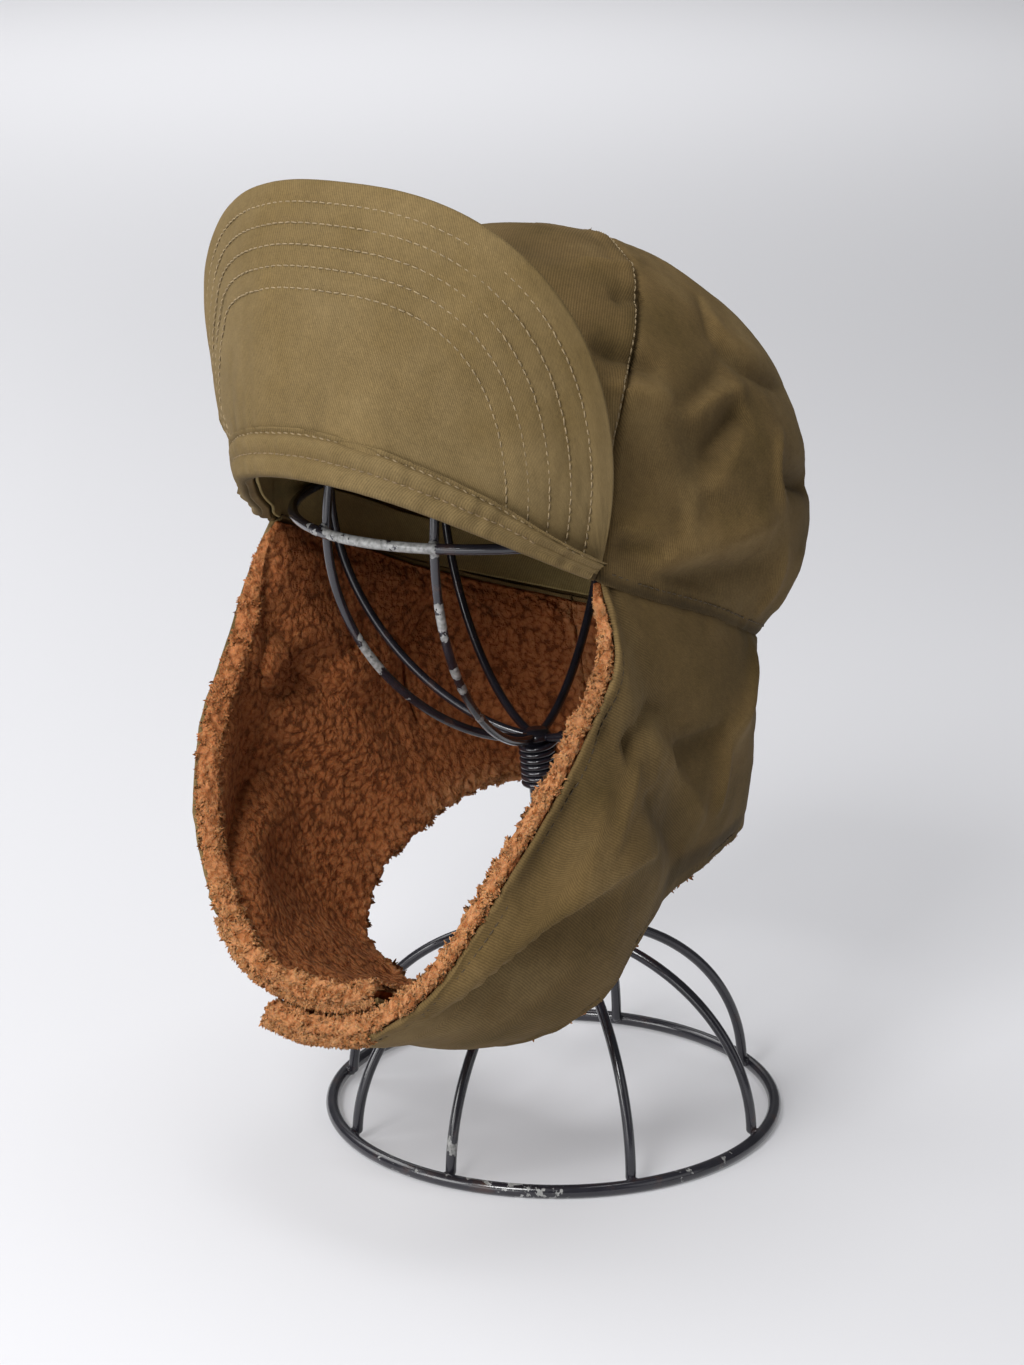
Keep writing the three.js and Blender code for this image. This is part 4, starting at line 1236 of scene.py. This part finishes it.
def tufts(name, points, facing, columns, rows, count, seed, size=0.85, grown=None, us=None):
    """Short bent locks that stand off the pile in small bunches, on a patch of its table of points."""
    rng = np.random.default_rng(seed)
    groups = count // BUNCH
    count = groups * BUNCH
    spread = rng.normal(size=(2, groups, BUNCH)) * 0.8
    i = np.clip((rng.uniform(*columns, groups)[:, None] + spread[0]).ravel(), columns[0], columns[1] - 1.001)
    j = np.clip((rng.uniform(*rows, groups)[:, None] + spread[1]).ravel(), rows[0], rows[1] - 1.001)
    i0, j0 = i.astype(int), j.astype(int)
    fi, fj = (i - i0)[:, None], (j - j0)[:, None]
    wrap = points.shape[1]

    def at(table):
        low = table[i0, j0 % wrap] * (1 - fj) + table[i0, (j0 + 1) % wrap] * fj
        high = table[i0 + 1, j0 % wrap] * (1 - fj) + table[i0 + 1, (j0 + 1) % wrap] * fj
        return low * (1 - fi) + high * fi

    root, normal = at(points), unit(at(facing))
    common = np.repeat(rng.normal(size=(groups, 3)), BUNCH, 0)
    lean = unit(normal + 0.5 * common + 0.25 * rng.normal(size=(count, 3)))
    lean = unit(lean + normal * np.clip(0.4 - (lean * normal).sum(-1, keepdims=True), 0, 1))
    curl = unit(np.cross(lean, common + 0.4 * rng.normal(size=(count, 3))))
    size = size if grown is None else size * grown[i0]
    long = (size * rng.uniform(1.1, 2.2, count))[:, None]
    wide = size * rng.uniform(0.42, 0.68, count)
    steps, girth = LOCK.T
    sides = 4
    line = (root[:, None] + lean[:, None] * (long * steps)[..., None]
            + curl[:, None] * (long * 0.6 * steps ** 2)[..., None])
    ring = spokes(unit(np.cross(lean, curl)), curl, sides)[:, None]
    mesh = line[:, :, None] + ring * (wide[:, None] * girth)[..., None, None]
    ids = numbered(len(steps), sides)
    faces = [repeated(grid_faces(ids, closed_v=True), count, ids.size),
             repeated(ids[-1][::-1][None], count, ids.size)]
    tone = np.clip(rng.uniform(0.6, 0.9, count)[:, None] + 0.15 * steps, 0, 1)
    # On the right flap's edge the locks take the same painted shade as the pile
    if us is not None:
        tone = tone * pile_edge_shade(us[i0])[:, None]
    own = unit(ring * girth[:, None, None] + lean[:, None, None] * (1 - girth)[:, None, None])
    soft = unit(normal[:, None, None] + 0.45 * own)
    new_object(name, mesh.reshape(-1, 3), faces, FLEECE, slot="pile", soft=soft.reshape(-1, 3),
               marks={"nap_and_light": np.repeat(tone.ravel(), sides)})


def chin_wrap(name, start, end, bottom, side, count, seed):
    """Locks round the front edge of a flap, from behind its cloth, over the edge and down its face."""
    turn = np.array([0, 0.33, 0.67, 1, 1.25, 1.5, 1.75, 2.0])
    u, w = np.meshgrid(np.linspace(start, end, 70), turn, indexing="ij")
    share = -0.012 * np.sin(np.minimum(w, 1) * math.pi / 2) + (bottom + 0.012) * np.clip(w - 1, 0, 1)
    depth = -2.6 * (1 - np.minimum(w, 1)) + 0.2
    normals = surface_normal(flap_point, u, np.maximum(share, 0.002))
    ahead = unit(flap_point(u, share * 0) - flap_point(u, share * 0 + 0.02))
    edge_on = np.clip(1.6 * (1 - np.abs(w - 0.6) / 0.8), 0, 1)[..., None]
    surface = flap_point(u, np.maximum(share, 0)) + ahead * (np.maximum(-share, 0) * FLAP_DROP)[..., None]
    surface = surface + normals * (side * OVERLAP["shift"] + depth)[..., None]
    tufts(name, surface, unit(normals * (1 - edge_on) + ahead * edge_on + normals * 0.2), (0, 69), (0, 7),
          count, seed, size=0.8)


def flaps():
    seam = NECK_SHARE + FLAP_SEAM
    within = NECK_SHARE - FLAP_SEAM
    pieces = [
        ("neck", "neck_flap", -within, within, 42, 0, 100),
        ("left", "ear_flap_left", seam, OVERLAP["left_end"], 180, 1, 120),
        ("right", "ear_flap_right", -OVERLAP["right_end"], -seam, 184, -1, 140),
    ]
    lower = (PILE_ROWS["back"], PILE_ROWS["back"] + PILE_ROWS["edge"])
    upper = (lower[1] + PILE_ROWS["face"] - 2, lower[1] + PILE_ROWS["face"] + PILE_ROWS["edge"])
    rows = []
    for short, cloth, start, end, columns, side, seed in pieces:
        flap_cloth(cloth, start, end, columns, side, seed)
        rows += flap_rows(start, end, side)
        pile_columns = int(FLAP_RUN * (end - start) / PILE_ROWS["step"])
        points, facing, us = fleece(
            f"lining_{short}", start, end, pile_columns, side, seed + 10, 3.6 if side else 0.02)
        tufts(f"tufts_{short}_lower", points, facing, (4, len(us) - 5), lower,
              TUFTS["lower" if side else "neck"], seed + 20)
        if side:
            opened = np.nonzero(np.abs(us) > 0.505)[0]
            ends = (max(opened[0], 2), min(opened[-1], len(us) - 3))
            grown = 0.35 + 0.65 * smooth(np.abs(us), 0.5, 0.6)
            tufts(f"tufts_{short}_front", points, facing, ends, upper, TUFTS["front"], seed + 21,
                  grown=grown, us=us)
            last = (len(us) - 8, len(us) - 3) if side > 0 else (2, 7)
            tufts(f"tufts_{short}_end", points, facing, last, (lower[1], upper[0]), TUFTS["end"], seed + 22)
    for number, wrap in enumerate(CHIN_WRAPS):
        chin_wrap(f"tufts_chin_{number + 1}", *wrap, 160 + number)
    stitches("flap_stitches", rows, THREAD_DARK, radius=0.26, lift=0.2)


# Stand

def heading(degrees):
    a = math.radians(degrees)
    return np.array([math.sin(a), -math.cos(a), 0.0])


def painted(name, parts, level, marks=()):
    """A wire piece of the stand. Wear has a low level everywhere and is higher round the marks
    (centre, reach, strength)."""
    points, faces = joined(parts)
    wear = np.full(len(points), float(level))
    for centre, reach, strength in marks:
        far = np.linalg.norm(points - centre, axis=-1) / reach
        wear = wear + strength * np.exp(-far ** 4)
    new_object(name, points, faces, WIRE, nodes=[name], slot="wire", marks={"wear": wear})


def blob(centre, radii, seed):
    """A small uneven bead, such as a weld."""
    rows, sides = 9, 14
    tilt = np.linspace(0.12, math.pi - 0.12, rows)[:, None]
    turn = np.linspace(0, 2 * math.pi, sides, endpoint=False)[None, :]
    shape = np.stack([np.sin(tilt) * np.cos(turn), np.sin(tilt) * np.sin(turn), np.cos(tilt) + 0 * turn], -1)
    uneven = 1 + 0.12 * noise(turn * 2 + 0 * tilt, tilt * 3 + 0 * turn, seed)
    points = np.asarray(centre) + shape * uneven[..., None] * np.asarray(radii)
    ids = numbered(rows, sides)
    faces = [grid_faces(ids, closed_v=True)[:, ::-1], ids[0][::-1][None, :], ids[-1][None, :]]
    return points.reshape(-1, 3), faces


def circle(radius, count):
    turn = np.linspace(0, 2 * math.pi, count, endpoint=False)
    return np.stack([radius * np.cos(turn), radius * np.sin(turn), 0 * turn], -1)


def base():
    ring = circle(BASE["ring"], 200) + np.array([0, 0, BASE["wire"] / 2])
    parts = [tube(ring, BASE["wire"] / 2, (0, 0, 1), sides=18, closed=True)]
    inside = BASE["ring"] - BASE["wire"] / 2 - BASE["rib_wire"] / 2 + BASE["rib_seat"]
    start = math.asin((BASE["rib_wire"] / 2 + 0.1) / BASE["dome"])
    finish = math.acos(BASE["rib_end"] / inside)
    a = np.linspace(start, finish, 60)[:, None]
    marks = [(heading(WORN_RIB) * side + np.array([0, 0, up]), reach, strength)
             for side, up, reach, strength in RIB_WEAR]
    for number, degrees in enumerate(RIB_ANGLES):
        out = heading(degrees)
        height = BASE["wire"] / 2 + BASE["dome"] * np.sin(a)
        path = out * inside * np.cos(a) + np.array([0, 0, 1.0]) * height
        parts.append(blob(path[0] + out * 1.6 - np.array([0, 0, 1.2]), WELDS["rib"], number))
        bar = tube(path, BASE["rib_wire"] / 2, np.cross(out, (0, 0, 1)))
        painted(f"base_rib_{number + 1}", [bar], 0.2, marks)
    painted("base_ring", parts, 0.25, [
        (heading(degrees) * BASE["ring"] + np.array([0, 0, 3]), reach, strength)
        for degrees, reach, strength in BASE_WEAR])


def neck():
    foot = np.array([0, 0, BASE["wire"] / 2 + BASE["dome"]])
    lean = math.atan2(-NECK["top_y"], NECK["top_z"] - foot[2])
    turn = np.array(Matrix.Rotation(lean, 3, "X"))
    top = COIL["from"] + COIL["turns"] * COIL["pitch"] + COIL["wire"] / 2 + 0.3
    profile = np.concatenate([HUB, KNOB + (top, 0)])
    path = np.outer(profile[:, 0], (0, 0, 1)) @ turn.T + foot
    painted("neck_stem", [tube(path, profile[:, 1], (1, 0, 0), sides=24, round_ends=False)], 0.15)
    t = np.linspace(0, 1, COIL["turns"] * 40)
    angle = t * COIL["turns"] * 2 * math.pi
    radius = NECK["radius"] + COIL["clear"] + COIL["wire"] / 2
    spiral = np.stack([radius * np.cos(angle), radius * np.sin(angle),
                       COIL["from"] + t * COIL["turns"] * COIL["pitch"]], -1)
    tail = spiral[-1] + np.array([[0.6, 1.6, 0.7], [0.2, 4.0, 1.2], [-0.6, 7.5, 1.4]])
    spiral = np.concatenate([spiral, tail]) @ turn.T + foot
    painted("neck_coil", [tube(spiral, COIL["wire"] / 2, tuple(turn[:, 2]), sides=10)], 0.27)


def cage_point(degrees, turn):
    direction = heading(degrees)
    reach = HEAD_RING["radius"] - HEAD_RING["wire"] / 2 - CAGE["ring_gap"] - CAGE["wire"] / 2
    side = np.array([0, HEAD_RING["y"], HEAD_RING["z"]]) + direction * reach
    tilted = HEAD_RING["tilt_x"] * direction[1] - HEAD_RING["tilt_y"] * direction[0]
    side[2] += HEAD_RING["radius"] * tilted
    foot = np.array([0, NECK["top_y"], NECK["top_z"]])
    top = np.array([0, BOSS["y"], BOSS["top"] - BOSS["thickness"] / 2])
    a = np.clip(turn, 0, 1) * math.pi / 2
    spread = (np.sin(a) ** CAGE["spread"])[..., None]
    lift = (1 - np.cos(a)) ** CAGE["lift"]
    lower = foot + (side - foot) * np.concatenate([spread, spread, lift[..., None]], -1)
    b = np.clip(turn - 1, 0, 1) * math.pi / 2
    spread = (np.cos(b) ** CAGE["top_bend"])[..., None]
    upper = top + (side - top) * np.concatenate([spread, spread, 1 - np.sin(b)[..., None]], -1)
    return np.where((turn <= 1)[..., None], lower, upper)


def cage():
    tilt = Matrix.Rotation(HEAD_RING["tilt_x"], 3, "X") @ Matrix.Rotation(HEAD_RING["tilt_y"], 3, "Y")
    middle = np.array([0, HEAD_RING["y"], HEAD_RING["z"]])
    ring = circle(HEAD_RING["radius"], 180) @ np.array(tilt).T + middle
    parts = [tube(ring, HEAD_RING["wire"] / 2, (0, 0, 1), sides=14, closed=True)]
    turn = np.linspace(0, 2, 400)
    for number, degrees in enumerate(CAGE_ANGLES):
        path = cage_point(degrees, turn)
        keep = (np.hypot(path[:, 0], path[:, 1] - NECK["top_y"]) >= CAGE["foot_reach"]) | (turn > 1)
        keep &= (np.hypot(path[:, 0], path[:, 1] - BOSS["y"]) >= CAGE["top_reach"]) | (turn < 1)
        bar = tube(resampled(path[keep], 2.6), CAGE["wire"] / 2, np.cross(heading(degrees), (0, 0, 1)))
        painted(f"cage_wire_{number + 1}", [bar], 0.12, [
            (cage_point(degrees, np.array([place]))[0], reach, strength)
            for wire, place, reach, strength in CAGE_WEAR if wire == number + 1])
        crossing = cage_point(degrees, np.array([1.0]))[0] + heading(degrees) * 1.2
        parts.append(blob(crossing, WELDS["cage"], 20 + number))
    painted("head_ring", parts, 0.15, [
        (heading(degrees) * HEAD_RING["radius"] + middle, reach, strength)
        for degrees, reach, strength in RING_WEAR])
    top = (0, BOSS["y"], BOSS["top"] - BOSS["thickness"] / 2)
    painted("cage_boss", [blob(top, (BOSS["radius"], BOSS["radius"], 2.1), 40)], 0.15)


# Studio

FLOOR_REACH = 40.0
LAMP_AIM = 0.2  # height in m
WALL_SPREAD = 125.0
# Name, azimuth, distance along the floor in m, height in m, size in m, power in W, aimed at the cap
STUDIO_LAMPS = [
    ("key_low", -20, 1.642, 0.64, 0.8, 11.8, True),
    ("key_high", 10, 1.302, 1.293, 0.55, 20.3, True),
    ("low_front", 8, 1.7, 0.13, 0.8, 5.0, True),
    ("top", 0, 0.0, 1.9, 1.0, 11.5, True),
    ("near_left_wall", -77, 1.97, 1.5, 1.6, 28.5, False),
    ("far_left_wall", -134, 3.4, 1.8, 2.2, 24.0, False),
    ("horizon", -141, 7.5, 3.0, 4.0, 60.0, False),
    ("right_fill", 95, 1.8, 0.9, 1.2, 3.2, True),
]


def studio():
    bpy.context.scene.view_settings.view_transform = "Standard"
    floor_mesh = bpy.data.meshes.new("floor")
    corners = [(x * FLOOR_REACH, y * FLOOR_REACH, 0) for x, y in ((-1, -1), (1, -1), (1, 1), (-1, 1))]
    floor_mesh.from_pydata(corners, [], [(0, 1, 2, 3)])
    made, tree, shader = new_material("pale_floor")
    fill(tree, shader, Base_Color=(0.56, 0.56, 0.58, 1), Roughness=0.8, Specular_IOR_Level=0.1,
         Emission_Color=(0.97, 0.97, 1.0, 1), Emission_Strength=0.2)
    floor_mesh.materials.append(made)
    placed("floor", floor_mesh)
    world = bpy.data.worlds.new("soft_world")
    world.use_nodes = True
    fill(world.node_tree, world.node_tree.nodes["Background"], Color=(0.95, 0.96, 1.0, 1), Strength=0.12)
    bpy.context.scene.world = world
    for name, azimuth, distance, height, size, power, aimed in STUDIO_LAMPS:
        lamp = bpy.data.lights.new(name, "AREA")
        lamp.size = size
        lamp.energy = power
        holder = placed(name, lamp)
        holder.location = Vector(heading(azimuth) * distance + np.array([0, 0, height]))
        if aimed:
            look_along(holder, Vector((0, 0, LAMP_AIM)) - holder.location)
        else:
            lamp.spread = math.radians(WALL_SPREAD)


def look_along(holder, direction):
    holder.rotation_mode = "QUATERNION"
    holder.rotation_quaternion = direction.to_track_quat("-Z", "Y")


def camera():
    a, pitch = math.radians(CAMERA["azimuth"]), math.radians(CAMERA["pitch"])
    back = Vector((math.sin(a), -math.cos(a), 0))
    right = Vector((math.cos(a), math.sin(a), 0))
    data = bpy.data.cameras.new("camera")
    data.sensor_fit = "VERTICAL"
    data.sensor_height = CAMERA["sensor"]
    data.sensor_width = CAMERA["sensor"]
    data.lens = CAMERA["lens"]
    holder = placed("camera", data)
    place = back * CAMERA["distance"] + right * CAMERA["aside"] + Vector((0, 0, CAMERA["height"]))
    holder.location = place * MM + Vector(ORIGIN)
    look_along(holder, Vector((0, 0, -math.sin(pitch))) - back * math.cos(pitch))
    bpy.context.scene.camera = holder


camera()
studio()
base()
neck()
cage()
crown()
sweatband()
peak()
peak_band()
flaps()
